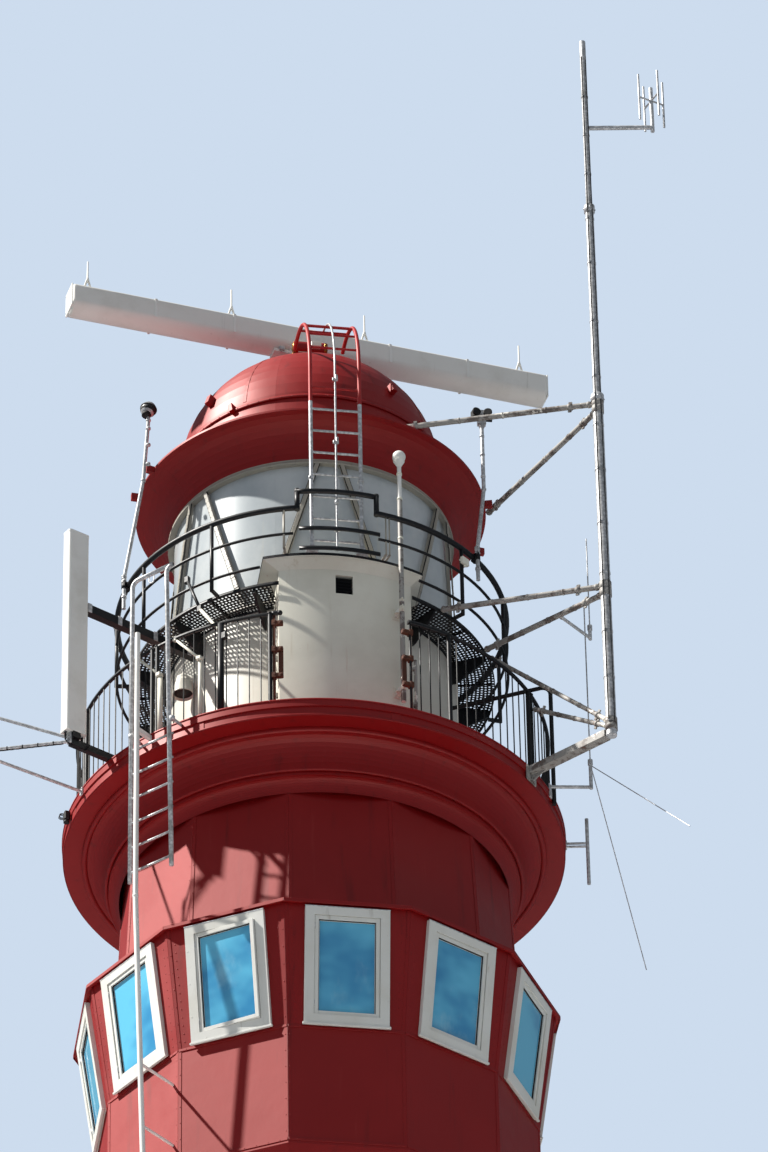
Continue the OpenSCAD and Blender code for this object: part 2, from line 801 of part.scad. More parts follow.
module scanner_section() {
    r = scanner_h / 2;
    intersection() {
        scale([1.05, 1]) circle(r = r, $fn = 64);
        translate([-scanner_d / 2, -r]) square([scanner_d, 2 * r]);
    }
}

module scanner_bar() {
    color(white) rotate([0, 0, scanner_turn]) translate([0, 0, scanner_z + scanner_h / 2])
        rotate([90, 0, 90]) linear_extrude(scanner_l, center = true) scanner_section();
}

module scanner_spikes() {
    color(white) rotate([0, 0, scanner_turn]) for (x = [-0.47, -0.165, 0.12, 0.455])
        translate([x * scanner_l, 0, scanner_z + scanner_h + seat]) union() {
            translate([-50, -12, 0]) cube([100, 24, 6]);
            for (s = [-1, 1]) bar([s * 38, 0, 3], [s * 3, 0, 135], 10);
            translate([0, 0, 118]) cylinder(d = 20, h = 24, $fn = 16);
            translate([0, 0, 130]) cylinder(d = 12, h = 200, $fn = 16);
        }
}

// Mast and its struts

mast_foot = -110;

module mast() {
    first_joint = 4300;
    second_joint = 6900;
    color(steel) translate(polar(mast_r, mast_az, deck_z)) {
        translate([0, 0, mast_foot]) cylinder(d = mast_d, h = first_joint - mast_foot);
        translate([0, 0, first_joint]) cylinder(d = mast_d * 0.8, h = second_joint - first_joint);
        translate([0, 0, second_joint]) cylinder(d = mast_d * 0.62, h = mast_top - second_joint);
    }
}

// A strut with ball ends, from a point to the mast's face at a level
module strut(p, z, d) {
    ball = d + 14;
    m = polar(mast_r, mast_az, deck_z + z);
    v = m - p;
    q = m - v * ((mast_d + ball) / 2 + seat) / norm([v.x, v.y]);
    union() {
        bar(p, q, d);
        for (end = [p, q]) translate(end) sphere(d = ball, $fn = 24);
    }
}

// Level of the roof skirt's top at a radius
function skirt_z(r) = deck_z + dome_z - (dome_z - eave_z - eave_edge)
    * sin(acos(1 - (r - dome_r - 4) / (eave_r - dome_r - 4)));

module mast_struts() {
    thick = 60;
    thin = 48;
    edge_z = deck_z + grating_z - 9;
    color(rust) {
        strut(polar(1720, 26, skirt_z(1720) + (thick + 14) * 0.56), 4190, thick);
        strut(polar(eave_r + (thick + 14) / 2 + seat, 80, deck_z + eave_z + eave_edge / 2), 4110, thick);
        strut(polar(grating_r + (thick + 14) / 2 + seat, 36.5, edge_z), 1790, thick);
        strut(polar(grating_r + (thick + 14) / 2 + seat, 61, edge_z), 1700, thick);
        strut(polar(grating_r + (thin + 14) / 2 + seat, 66, edge_z), 60, thin);
        strut(polar(rail_r + (post_d + thin + 14) / 2 + seat, rail_gap_to + rail_sweep + 0.8, deck_z + 1000), 0, thin);
    }
}

// Channel beam from a gusset on the fascia to the mast's foot
module mast_beam() {
    az = 50.4;
    h = 80;
    p = polar(deck_r + 12, az, deck_z - 55);
    q = polar(mast_r, mast_az, deck_z - 70);
    v = q - p;
    color(steel) union() {
        beam(p, q - v * (mast_d / 2 + 1) / norm(v), 100, h);
        at(az, deck_r + seat, deck_z - 190) {
            translate([0, -90, 0]) cube([14, 180, 180]);
            rotate([90, 0, 0]) linear_extrude(12, center = true) polygon([[0, 0], [14, 0], [190, 100], [0, 100]]);
        }
    }
}

module mast_head_aerial() {
    level = deck_z + 8010;
    reach = 720;
    foot = polar(mast_r, mast_az, level);
    side = [cos(8), -sin(8), 0];
    tip = foot + side * reach;
    color(steel) {
        bar(foot + side * (mast_d * 0.31 + seat), tip, 50);
        bar(tip + [0, 0, -60], tip + [0, 0, 560], 44);
        for (a = [0, 90, 180, 270]) {
            arm = [cos(a + 20), sin(a + 20), 0] * 150;
            bar(tip + [0, 0, 380], tip + arm + [0, 0, 380], 20);
            bar(tip + arm + [0, 0, 60], tip + arm + [0, 0, 700], 24);
        }
    }
}

// The strut that carries the upper whip's arm, as its two ends
arm_strut = [polar(grating_r + 37 + seat, 61, deck_z + grating_z - 9), polar(mast_r, mast_az, deck_z + 1700)];

// A small mast with a whip on top, on the end of an arm
module whip(foot, post_h, whip_h) {
    translate(foot + [0, 0, -20]) cylinder(d = 38, h = post_h, $fn = 16);
    translate(foot + [0, 0, post_h - 60]) cylinder(d = 52, h = 60, $fn = 16);
    translate(foot + [0, 0, post_h - 10]) cylinder(d = 14, h = whip_h, $fn = 16);
}

module whip_aerials() {
    arm_z = deck_z + 45;
    edge = polar(deck_r + seat + 12.5, 60.5, arm_z);
    end = polar(deck_r + 400, 63.5, deck_z + 40);
    color(steel) union() {
        at(60.5, deck_r + seat, deck_z - 85) translate([0, -30, 0]) cube([14, 60, 160]);
        bar(edge, end, 36);
        whip(end, 340, 2000);
        for (s = [-1, 1]) bar(end + [0, 0, 286 + s * 9], end + [743, s * 1287, -1332], 10);
    }
    u = (arm_strut[1] - arm_strut[0]) / norm(arm_strut[1] - arm_strut[0]);
    middle = arm_strut[0] + (arm_strut[1] - arm_strut[0]) * 0.6;
    tip = polar(deck_r + 474, 62.2, deck_z + 1880);
    v = tip - middle;
    across = v - u * (v * u);
    root = middle + across / norm(across) * (30 + 24 + seat);
    color(steel) union() {
        translate(root) sphere(d = 48, $fn = 24);
        bar(root, tip, 34);
        whip(tip, 160, 1150);
    }
}

module edge_aerial() {
    reach = 225;
    color(steel) at(81, deck_r + seat, deck_z) union() {
        translate([0, -30, -85]) cube([12, 60, 80]);
        for (z = [-65, -25]) translate([0, 0, z]) rotate([0, 90, 0]) cylinder(d = 26, h = reach, $fn = 16);
        translate([reach, 0, -540]) cylinder(d = 38, h = 820, $fn = 16);
    }
}

// Panel aerial and side ladder

panel_az = -61;
panel_r = deck_r + 430;
panel_foot = 150;
panel_block_t = 90;

// The panel aerial's box, grown by a margin on all sides
module panel_box(margin = 0) {
    w = 250 + 2 * margin;
    t = 122 + 2 * margin;
    at(panel_az, panel_r, deck_z + panel_foot - margin) rotate([0, 0, 88])
        translate([-t / 2, -w / 2, 0]) cube([t, w, panel_h + 2 * margin]);
}

module panel_aerial() {
    color(white) panel_box();
}

module panel_arms() {
    lower_h = 80;
    color(black) {
        difference() {
            at(panel_az, 0, deck_z + 1750) translate([drum_r + seat, -40, 0]) cube([panel_r - 60 - drum_r, 80, 100]);
            panel_box(seat);
        }
        at(panel_az, 0, deck_z + seat) {
            translate([rail_r + 30, -30, 0]) cube([panel_r + panel_block_t / 2 - rail_r - 30, 60, lower_h]);
            translate([panel_r - panel_block_t / 2, -60, lower_h - 1])
                cube([panel_block_t, 120, panel_foot - lower_h + 1 - 2 * seat]);
        }
    }
}

// Short upright outside the panel aerial, held by three bars
module side_mount() {
    d = 34;
    az = -70;
    r = deck_r + 1180;
    lug_az = -73;
    plate = 16;
    face = panel_r + panel_block_t / 2 + seat;
    color(steel) union() {
        translate(polar(r, az, deck_z - 100)) cylinder(d = 48, h = 640, $fn = 24);
        at(panel_az, face, deck_z + 18) translate([0, -29, 0]) cube([plate, 58, 126]);
        bar(polar(face + plate - 1, panel_az, deck_z + 37), polar(r, az, deck_z - 5), d);
        bar(polar(face + plate - 1, panel_az, deck_z + 84), polar(r, az, deck_z + 460), d);
        at(lug_az, deck_r + seat, deck_z - 85) translate([0, -30, 0]) cube([14, 60, 80]);
        bar(polar(deck_r + 9, lug_az, deck_z - 45), polar(r, az, deck_z - 60), d);
    }
}

module side_ladder() {
    w = 520;
    foot = deck_z - 1860;
    top = deck_z + 1900;
    face = sqrt(pow(deck_r + seat, 2) - pow(w / 2 - 15, 2));
    color(steel) at(-44.2, side_ladder_r, 0) union() {
        for (s = [-1, 1]) translate([0, s * w / 2, foot]) cylinder(d = 48, h = top - foot, $fn = 16);
        translate([0, -w / 2, top]) rotate([-90, 0, 0]) cylinder(d = 48, h = w, $fn = 16);
        for (i = [0:5]) translate([0, -w / 2, foot + 120 + i * 300]) rotate([-90, 0, 0]) cylinder(d = 28, h = w, $fn = 12);
        for (s = [-1, 1]) translate([face - side_ladder_r, s * w / 2 - 8, deck_z - 75])
            cube([side_ladder_r - face, 16, 40]);
    }
}

// Distance of a twelve-sided wall from the axis at an azimuth
function side_r(r, a) = r * corner / cos(a - side_angle * round(a / side_angle));

module conduit() {
    az = -47;
    r = side_ladder_r + 70;
    foot_r = deck_r + 58;
    d = 55;
    knee = deck_z - 2100;
    foot = cab_bottom_z - 300;
    color(white) union() {
        translate(polar(r, az, knee)) cylinder(d = d, h = deck_z + 1150 - knee, $fn = 24);
        translate(polar(r, az, knee)) sphere(d = d + 10, $fn = 24);
        bar(polar(r, az, knee), polar(foot_r, az, foot), d);
        for (z = [cab_bottom_z + 300, cab_bottom_z + 1000])
            bar(polar(side_r(cab_sill_r, az) + 3.4, az, z), polar(r + (foot_r - r) * (knee - z) / (knee - foot), az, z), 30);
        at(az, deck_r + seat, deck_z - 80) translate([0, -20, 0]) cube([r - deck_r - 20, 40, 50]);
    }
}

// Tube from the drum over the railing and down past the deck's edge
module hoop_tube() {
    az = 62;
    d = 44;
    r = deck_r + d / 2 + seat;
    bend = 110;
    top = deck_z + 1374;
    color(black) rotate([0, 0, az - 90]) union() {
        translate([drum_r + seat, 0, top]) rotate([0, 90, 0]) cylinder(d = 90, h = 12, $fn = 24);
        translate([drum_r + seat, 0, top]) rotate([0, 90, 0]) cylinder(d = d, h = r - bend - drum_r - seat, $fn = 16);
        translate([r - bend, 0, top - bend]) rotate([90, 0, 0])
            rotate_extrude(angle = 90) translate([bend, 0]) circle(d = d, $fn = 16);
        translate([r, 0, deck_z - 136]) cylinder(d = d, h = top - bend - deck_z + 136, $fn = 16);
    }
}

// A pole clamped to the handrail's outside, bent inwards past the eave
module bent_pole(points, d) {
    color(steel) union() {
        for (i = [0:len(points) - 2]) bar(points[i], points[i + 1], d);
        for (i = [1:len(points) - 1]) translate(points[i]) sphere(d = d + 14, $fn = 24);
        translate(points[len(points) - 1]) children();
    }
}

module camera_pole() {
    d = 42;
    foot = polar(handrail_r + rail_flat(48) + d / 2 + seat, -77, deck_z + handrail_z - 300);
    bend = foot + [0, 0, 400];
    knee = polar(eave_r + 113, -70.5, deck_z + 4127);
    head = polar(eave_r + 113, -67.4, deck_z + 4866);
    bent_pole([foot, bend, knee, head], d) {
        cylinder(d = 40, h = 80, $fn = 24);
        translate([0, 0, 150]) sphere(d = 170, $fn = 32);
    }
}

module lamp_pole() {
    d = 42;
    foot = polar(handrail_r + rail_flat(48) + d / 2 + seat, 48, deck_z + handrail_z - 300);
    bend = foot + [0, 0, 400];
    knee = polar(eave_r + 123, 59, deck_z + 4060);
    head = polar(eave_r + 123, 58.8, deck_z + 4900);
    bent_pole([foot, bend, knee, head], d) {
        cylinder(d = 60, h = 90, $fn = 24);
        for (z = [30, 130]) translate([-45, -30, z]) cube([90, 60, 84]);
        cylinder(d = 30, h = 150, $fn = 16);
    }
}

module radome_pole() {
    r = housing_r + 120;
    stand = 120 - seat - 0.3;
    color(white) at(20, r, deck_z + 560) union() {
        cylinder(d = 44, h = 3060, $fn = 16);
        translate([0, 0, 3050]) cylinder(d1 = 46, d2 = 120, h = 70, $fn = 32);
        translate([0, 0, 3180]) sphere(d = 140, $fn = 32);
        for (z = [150, 1150]) translate([-stand, -25, z]) cube([stand, 50, 60]);
    }
}

plinth();
ground_floor();
shaft_base();
shaft_lower();
shaft_middle();
shaft_upper();
shaft_top();
shaft_window_frames();
shaft_window_glass();
door_frame();
door_leaf();
cab_soffit();
cab_floor();
cab_lower_wall();
cab_window_wall();
cab_window_frames();
cab_window_glass();
cab_roof();
neck();
cornice();
gallery_deck();
gallery_railing();
drum();
drum_vents();
housing_wall();
housing_roof();
housing_brackets();
walkway_grating();
walkway_brackets();
upper_handrail();
lantern_bars();
lantern_glass();
lantern_roof();
dome();
dome_lugs();
roof_ladder();
dome_ladder();
arrest_rail();
scanner_pedestal();
scanner_hub();
scanner_bar();
scanner_spikes();
mast();
mast_struts();
mast_beam();
mast_head_aerial();
whip_aerials();
edge_aerial();
panel_aerial();
panel_arms();
side_mount();
side_ladder();
conduit();
hoop_tube();
camera_pole();
lamp_pole();
radome_pole();
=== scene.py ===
import json
import math
import random

import bmesh
import bpy
from mathutils import Matrix, Vector


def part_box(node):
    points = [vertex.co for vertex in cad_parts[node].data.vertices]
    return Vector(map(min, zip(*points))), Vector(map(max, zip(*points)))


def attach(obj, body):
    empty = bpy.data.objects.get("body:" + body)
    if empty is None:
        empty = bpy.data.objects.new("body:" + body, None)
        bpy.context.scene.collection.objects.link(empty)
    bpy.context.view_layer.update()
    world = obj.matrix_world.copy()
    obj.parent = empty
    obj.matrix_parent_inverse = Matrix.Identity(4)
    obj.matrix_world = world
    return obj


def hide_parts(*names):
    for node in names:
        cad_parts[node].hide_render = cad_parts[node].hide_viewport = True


# Looks of a coastal lighthouse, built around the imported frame. Metres, +Z up.
# Azimuths are degrees from -Y towards +X.

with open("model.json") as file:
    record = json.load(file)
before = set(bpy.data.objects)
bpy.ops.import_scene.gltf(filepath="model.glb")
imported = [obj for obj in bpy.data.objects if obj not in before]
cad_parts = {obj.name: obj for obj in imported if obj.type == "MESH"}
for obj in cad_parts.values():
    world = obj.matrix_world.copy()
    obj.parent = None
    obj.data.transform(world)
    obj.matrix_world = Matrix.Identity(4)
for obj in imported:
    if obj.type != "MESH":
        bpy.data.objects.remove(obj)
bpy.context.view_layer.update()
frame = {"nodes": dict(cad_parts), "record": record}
nodes = frame["nodes"]


# Driving dimensions, read from the frame

def reach(node):
    """Half of a round node's width."""
    low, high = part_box(node)
    return (high.x - low.x) / 2


def levels(node):
    """A node's lowest and highest level."""
    return [corner.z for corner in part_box(node)]


GRATING_T = 0.030
deck_z = levels("gallery_deck")[1]
deck_r = reach("gallery_deck")
drum_r = reach("drum")
grating_low_z = levels("walkway_grating")[0]
grating_z = grating_low_z + GRATING_T
grating_r = reach("walkway_grating")
housing_low, housing_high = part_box("housing_wall")
glass_low_z, glass_high_z = levels("lantern_glass")
eave_r = reach("lantern_roof")
dome_low_z = levels("dome")[0]
dome_r = reach("dome")
sill_z = levels("cab_lower_wall")[1]
cab_top_z = levels("cab_window_wall")[1]
cab_low_z = levels("cab_soffit")[0]
neck_low_z = levels("neck")[0]
mast_low, mast_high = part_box("mast")
mast_mid = (mast_low + mast_high) / 2
shaft_top_z = levels("shaft_top")[1]
door_tier_z = levels("shaft_base")[1]
tier_h = levels("shaft_lower")[1] - door_tier_z
door_head_z = levels("door_frame")[1]
slit_levels = [door_tier_z + (k + 0.55) * tier_h for k in range(3)]

SIDES = 12
SIDE_ANGLE = 360 / SIDES
CORNER = math.cos(math.radians(SIDE_ANGLE / 2))
HALF_SIDE = math.sin(math.radians(SIDE_ANGLE / 2))
SILL_R = 2.240
CAB_TOP_R = 2.440
NECK_TOP_R = 2.010
NECK_FOOT_R = 2.075
WINDOW_H = 1.330
FRAME_W = 0.845
FRAME_H = 1.275
FRAME_B = 0.095
FRAME_PROUD = 0.045
RAIL_R = deck_r - 0.145
HANDRAIL_R = 2.060


def srgb(r, g, b):
    """A colour given as 0 to 255, as linear values."""
    def linear(v):
        v = v / 255
        return v / 12.92 if v <= 0.04045 else ((v + 0.055) / 1.055) ** 2.4
    return (linear(r), linear(g), linear(b), 1)


def polar(r, azimuth, z=0.0):
    a = math.radians(azimuth)
    return Vector((r * math.sin(a), -r * math.cos(a), z))


def rise(z):
    return Vector((0, 0, z))


def turn(degrees, axis="Z"):
    return Matrix.Rotation(math.radians(degrees), 4, axis)


def move(x, y, z):
    return Matrix.Translation((x, y, z))


def at(azimuth, r, z=0.0):
    """The place at an azimuth, radius and level, with local +X outwards."""
    return turn(azimuth - 90) @ move(r, 0, z)


def standing(azimuth, r, z):
    """The place at an azimuth, radius and level, not turned."""
    return Matrix.Translation(polar(r, azimuth, z))


def along(p, q):
    """The place at p with local +Z towards q."""
    return Matrix.Translation(p) @ (Vector(q) - Vector(p)).to_track_quat("Z", "Y").to_matrix().to_4x4()


def facing(out, across, up, spot):
    """The place at a spot with these three directions as its axes."""
    place = Matrix((out, across, up)).transposed().to_4x4()
    place.translation = spot
    return place


def band(r_low, r_high, z_low, z_high):
    """The four corners of a ring's section."""
    return [(r_low, z_low), (r_high, z_low), (r_high, z_high), (r_low, z_high)]


# Camera and light

CAMERA_PITCH = 37.39
CAMERA_YAW = 0.75
CAMERA_ROLL = -1.06
CAMERA_TURN = -7.86
CAMERA_PLACE = (-8.094, -58.629, -11.317)
CAMERA_LENS = 218.75
CAMERA_SENSOR = 36
CAMERA_SIGHT = 400


def add_camera():
    pitch, yaw, roll = [math.radians(v) for v in (CAMERA_PITCH, CAMERA_YAW, -CAMERA_ROLL)]
    ahead = Vector((math.sin(yaw) * math.cos(pitch), math.cos(yaw) * math.cos(pitch), math.sin(pitch)))
    level = Vector((math.cos(yaw), -math.sin(yaw), 0))
    upright = level.cross(ahead)
    right = math.cos(roll) * level - math.sin(roll) * upright
    up = math.sin(roll) * level + math.cos(roll) * upright
    spin = turn(CAMERA_TURN).to_3x3()
    columns = Matrix((spin @ right, spin @ up, spin @ -ahead)).transposed()
    data = bpy.data.cameras.new("photo_camera")
    data.sensor_fit = "VERTICAL"
    data.sensor_height = CAMERA_SENSOR
    data.lens = CAMERA_LENS
    data.clip_end = CAMERA_SIGHT
    camera = bpy.data.objects.new("photo_camera", data)
    camera.matrix_world = Matrix.Translation(CAMERA_PLACE) @ columns.to_4x4()
    bpy.context.scene.collection.objects.link(camera)
    bpy.context.scene.camera = camera


SUN_AZIMUTH = -92
SUN_ELEVATION = 48
SUN_STRENGTH = 7.4
SUN_WIDTH = 1.2
SUN_COLOUR = (1.0, 0.965, 0.91)
SKIES = {
    "mirrored": ((0.74, 0.87, 1.0, 1), 0.18),
    "soft": ((0.86, 0.92, 1.0, 1), 0.40),
    "seen": (srgb(205, 220, 238), 1),
}


def add_lights():
    """A sun, and a sky with one brightness for light, one for mirrors and one for the eye."""
    data = bpy.data.lights.new("key_light", "SUN")
    data.energy = SUN_STRENGTH
    data.angle = math.radians(SUN_WIDTH)
    data.color = SUN_COLOUR
    lamp = bpy.data.objects.new("key_light", data)
    toward = polar(math.cos(math.radians(SUN_ELEVATION)), SUN_AZIMUTH, math.sin(math.radians(SUN_ELEVATION)))
    lamp.rotation_euler = toward.to_track_quat("Z", "Y").to_euler()
    bpy.context.scene.collection.objects.link(lamp)

    world = bpy.data.worlds.new("studio")
    world.use_nodes = True
    tree = world.node_tree
    tree.nodes.clear()
    path = tree.nodes.new("ShaderNodeLightPath")
    seen = tree.nodes.new("ShaderNodeMath")
    seen.operation = "MAXIMUM"
    sky = {}
    for name, (colour, strength) in SKIES.items():
        sky[name] = tree.nodes.new("ShaderNodeBackground")
        sky[name].inputs["Color"].default_value = colour
        sky[name].inputs["Strength"].default_value = strength
    mix = tree.nodes.new("ShaderNodeMixShader")
    unseen = tree.nodes.new("ShaderNodeMixShader")
    output = tree.nodes.new("ShaderNodeOutputWorld")
    for source, target in (
        (path.outputs["Is Camera Ray"], seen.inputs[0]),
        (path.outputs["Is Transmission Ray"], seen.inputs[1]),
        (path.outputs["Is Glossy Ray"], unseen.inputs[0]),
        (sky["soft"].outputs[0], unseen.inputs[1]),
        (sky["mirrored"].outputs[0], unseen.inputs[2]),
        (seen.outputs[0], mix.inputs[0]),
        (unseen.outputs[0], mix.inputs[1]),
        (sky["seen"].outputs[0], mix.inputs[2]),
        (mix.outputs[0], output.inputs["Surface"]),
    ):
        tree.links.new(source, target)
    bpy.context.scene.world = world
    bpy.context.scene.view_settings.view_transform = "Standard"


# Materials

class Paint:
    """One material: a base colour with layers of variation, dirt and wear mixed over it."""

    def __init__(self, name, colour, rough=0.5, metallic=0.0):
        self.material = bpy.data.materials.new(name)
        self.material.use_nodes = True
        self.tree = self.material.node_tree
        self.shader = self.tree.nodes["Principled BSDF"]
        self.set(Base_Color=colour, Roughness=rough, Metallic=metallic)
        self.place = self.tree.nodes.new("ShaderNodeTexCoord").outputs["Object"]
        self.colour = colour
        self.rough = rough
        self.height = None
        self.count = 0

    def set(self, **inputs):
        """Sets inputs of the shader, or links them."""
        for name, value in inputs.items():
            self.feed(self.shader.inputs[name.replace("_", " ")], value)

    def feed(self, socket, value):
        """Sets a socket to a value, or links another node's output to it."""
        if isinstance(value, bpy.types.NodeSocket):
            self.tree.links.new(value, socket)
        else:
            socket.default_value = value

    def node(self, kind, **inputs):
        """A new node with the named inputs fed."""
        made = self.tree.nodes.new("ShaderNode" + kind)
        for name, value in inputs.items():
            self.feed(made.inputs[name.replace("_", " ")], value)
        return made

    def mapped(self, stretch, shift):
        return self.node("Mapping", Scale=stretch, Location=shift, Vector=self.place).outputs[0]

    def noise(self, scale, stretch=(1, 1, 1), detail=4, coarse=0.6, warp=0.0):
        self.count += 1
        made = self.node("TexNoise", Scale=scale, Detail=detail, Roughness=coarse, Distortion=warp)
        shift = (3.1 * self.count, 1.7 * self.count, 0.9 * self.count)
        self.feed(made.inputs["Vector"], self.mapped(stretch, shift))
        return made.outputs["Fac"]

    def cells(self, scale):
        self.count += 1
        made = self.node("TexVoronoi", Scale=scale)
        self.feed(made.inputs["Vector"], self.mapped((1, 1, 1), (2.3 * self.count, 4.1 * self.count, 0.4)))
        return made.outputs["Distance"]

    def step(self, value, low, high):
        """Turns a value into 0 below low and 1 above high."""
        made = self.node("MapRange", From_Min=low, From_Max=high, Value=value)
        made.interpolation_type = "SMOOTHSTEP"
        return made.outputs[0]

    def combine(self, operation, a, b):
        made = self.node("Math")
        made.operation = operation
        self.feed(made.inputs[0], a)
        self.feed(made.inputs[1], b)
        return made.outputs[0]

    def layer(self, factor, colour, amount):
        """Mixes a colour over what is there, by a factor."""
        made = self.node("Mix")
        made.data_type = "RGBA"
        self.feed(made.inputs["Factor"], self.combine("MULTIPLY", factor, amount))
        self.feed(made.inputs[6], self.colour)
        self.feed(made.inputs[7], colour)
        self.colour = made.outputs[2]

    def patches(self, scale, low, high, colour, amount, **noise):
        """Mixes a colour in where a noise is high. Gives the noise and its share."""
        value = self.noise(scale, **noise)
        share = self.step(value, low, high)
        self.layer(share, colour, amount)
        return value, share

    def gloss(self, factor, rough):
        """Mixes a roughness over what is there, by a factor."""
        made = self.node("Mix", Factor=factor)
        self.feed(made.inputs[2], self.rough)
        self.feed(made.inputs[3], rough)
        self.rough = made.outputs[0]

    def relief(self, value, strength, distance):
        """Adds a bump on top of the earlier ones."""
        made = self.node("Bump", Strength=strength, Distance=distance, Height=value)
        if self.height is not None:
            self.feed(made.inputs["Normal"], self.height)
        self.height = made.outputs[0]

    def done(self):
        self.set(Base_Color=self.colour, Roughness=self.rough)
        if self.height is not None:
            self.set(Normal=self.height)
        return self.material


RUST = srgb(122, 66, 34)
PALE_RUST = srgb(176, 120, 76)
FLAKY = {"detail": 6, "coarse": 0.7}
RUSTY_ROUGH = 0.85


def drawn_out(wide, tall):
    """The stretch of a noise that runs down a wall."""
    return (wide, wide, tall)


def red_paint(name, colour, faded):
    paint = Paint(name, colour, 0.45)
    paint.set(Specular_IOR_Level=1.0, Specular_Tint=(1.0, 0.46, 0.44, 1))
    clouds = paint.patches(1.3, 0.42, 0.75, faded, 0.35, detail=5)[0]
    paint.patches(1.0, 0.56, 0.74, srgb(64, 4, 8), 0.40, stretch=drawn_out(9, 0.7), detail=6)
    paint.patches(1.0, 0.62, 0.78, srgb(176, 70, 66), 0.15, stretch=drawn_out(14, 0.9))
    worn = paint.patches(26, 0.70, 0.74, srgb(96, 40, 34), 0.8, **FLAKY)[1]
    fine = paint.noise(60, detail=3)
    paint.gloss(paint.step(clouds, 0.3, 0.7), 0.55)
    paint.relief(fine, 0.10, 0.002)
    paint.relief(paint.noise(5, detail=3), 0.12, 0.008)
    paint.relief(paint.combine("SUBTRACT", 1.0, worn), 0.25, 0.002)
    return paint.done()


def white_paint(name, colour, rust_amount, streak_colour):
    paint = Paint(name, colour, 0.45)
    paint.patches(1.8, 0.40, 0.75, srgb(200, 194, 176), 0.40, detail=5)
    paint.patches(1.0, 0.60, 0.80, streak_colour, 0.45, stretch=drawn_out(11, 0.6), detail=6)
    rusty = paint.patches(14, 0.69, 0.75, RUST, rust_amount, detail=6, coarse=0.72)[1]
    paint.patches(1.0, 0.66, 0.80, PALE_RUST, rust_amount * 0.6, stretch=drawn_out(22, 1.2), detail=5)
    paint.gloss(rusty, RUSTY_ROUGH)
    paint.relief(paint.noise(70, detail=3), 0.08, 0.0015)
    paint.relief(rusty, 0.3, 0.0015)
    return paint.done()


def black_paint():
    paint = Paint("black_paint", srgb(20, 21, 25), 0.45)
    scuffs = paint.patches(18, 0.60, 0.74, srgb(52, 52, 54), 0.6, **FLAKY)[0]
    paint.patches(30, 0.70, 0.75, RUST, 0.7, detail=6, coarse=0.75)
    paint.gloss(paint.step(scuffs, 0.5, 0.7), 0.65)
    paint.relief(scuffs, 0.15, 0.0015)
    return paint.done()


def galvanized():
    paint = Paint("galvanized", srgb(218, 219, 221), 0.42, 0.25)
    paint.layer(paint.step(paint.cells(26), 0.2, 0.7), srgb(138, 140, 142), 0.5)
    paint.patches(3.5, 0.5, 0.75, srgb(120, 118, 112), 0.6, detail=5)
    spots, rusty = paint.patches(12, 0.66, 0.74, RUST, 0.55, stretch=(1, 1, 0.4), **FLAKY)
    paint.gloss(rusty, RUSTY_ROUGH)
    paint.relief(spots, 0.12, 0.0015)
    return paint.done()


def rusty_struts():
    """Old grey paint that has flaked to brown, with white remains."""
    paint = Paint("rusty_steel", srgb(158, 155, 150), 0.6)
    flakes = paint.patches(7, 0.50, 0.57, srgb(98, 86, 80), 0.85, **FLAKY)[0]
    paint.patches(11, 0.63, 0.67, srgb(112, 66, 44), 0.9, **FLAKY)
    white = paint.patches(4.2, 0.60, 0.62, srgb(226, 222, 212), 0.95, detail=5, coarse=0.65)[1]
    paint.gloss(white, 0.4)
    paint.relief(flakes, 0.4, 0.003)
    return paint.done()


def glass_fibre(name, colour):
    paint = Paint(name, colour, 0.35)
    clouds = paint.patches(2.4, 0.45, 0.75, srgb(206, 202, 192), 0.5, detail=5)[0]
    paint.patches(1.0, 0.62, 0.80, srgb(150, 142, 126), 0.4, stretch=drawn_out(16, 1.0), detail=5)
    paint.gloss(clouds, 0.5)
    paint.relief(paint.noise(40, detail=2), 0.05, 0.001)
    return paint.done()


# The panes' blue base colour, with its darker and paler blue patches, is painted reflection of a sky; the
# coat and gloss over it are real.
def window_painted_reflection():
    paint = Paint("window_glass", srgb(104, 196, 232), 0.06)
    paint.patches(0.9, 0.40, 0.66, srgb(44, 128, 184), 0.8, stretch=(1, 1, 1.4), detail=3)
    paint.patches(2.1, 0.55, 0.72, srgb(170, 214, 226), 0.35, stretch=(1, 1, 0.6), detail=5)
    paint.gloss(paint.step(paint.noise(24, (1, 1, 0.3), detail=6), 0.5, 0.7), 0.2)
    paint.set(Specular_IOR_Level=0.7, Coat_Weight=0.6, Coat_Roughness=0.03)
    return paint.done()


def milky_glass():
    paint = Paint("lantern_glass", srgb(206, 211, 212), 0.16)
    clouds = paint.patches(1.2, 0.40, 0.70, srgb(168, 178, 184), 0.7, stretch=(1, 1, 0.8), detail=5)[0]
    paint.patches(1.0, 0.58, 0.75, srgb(206, 204, 192), 0.5, stretch=drawn_out(10, 0.8), detail=5)
    paint.gloss(clouds, 0.3)
    paint.set(Coat_Weight=0.5, Coat_Roughness=0.05, Alpha=0.93)
    return paint.done()


def masonry():
    paint = Paint("tower_paint", srgb(168, 34, 36), 0.62)
    paint.patches(0.7, 0.42, 0.72, srgb(190, 74, 66), 0.4, detail=6)
    paint.patches(1.0, 0.58, 0.76, srgb(92, 18, 20), 0.45, stretch=drawn_out(5, 0.4), detail=6)
    bare = paint.patches(9, 0.69, 0.73, srgb(168, 130, 112), 0.7, detail=6, coarse=0.72)[1]
    paint.relief(paint.noise(48, detail=5), 0.35, 0.003)
    paint.relief(bare, 0.3, -0.002)
    return paint.done()


def stone():
    paint = Paint("floor_stone", srgb(150, 146, 138), 0.75)
    paint.patches(3, 0.4, 0.7, srgb(112, 108, 100), 0.6, detail=6)
    paint.patches(60, 0.6, 0.7, srgb(186, 182, 172), 0.5)
    paint.relief(paint.noise(22, detail=6), 0.4, 0.004)
    return paint.done()


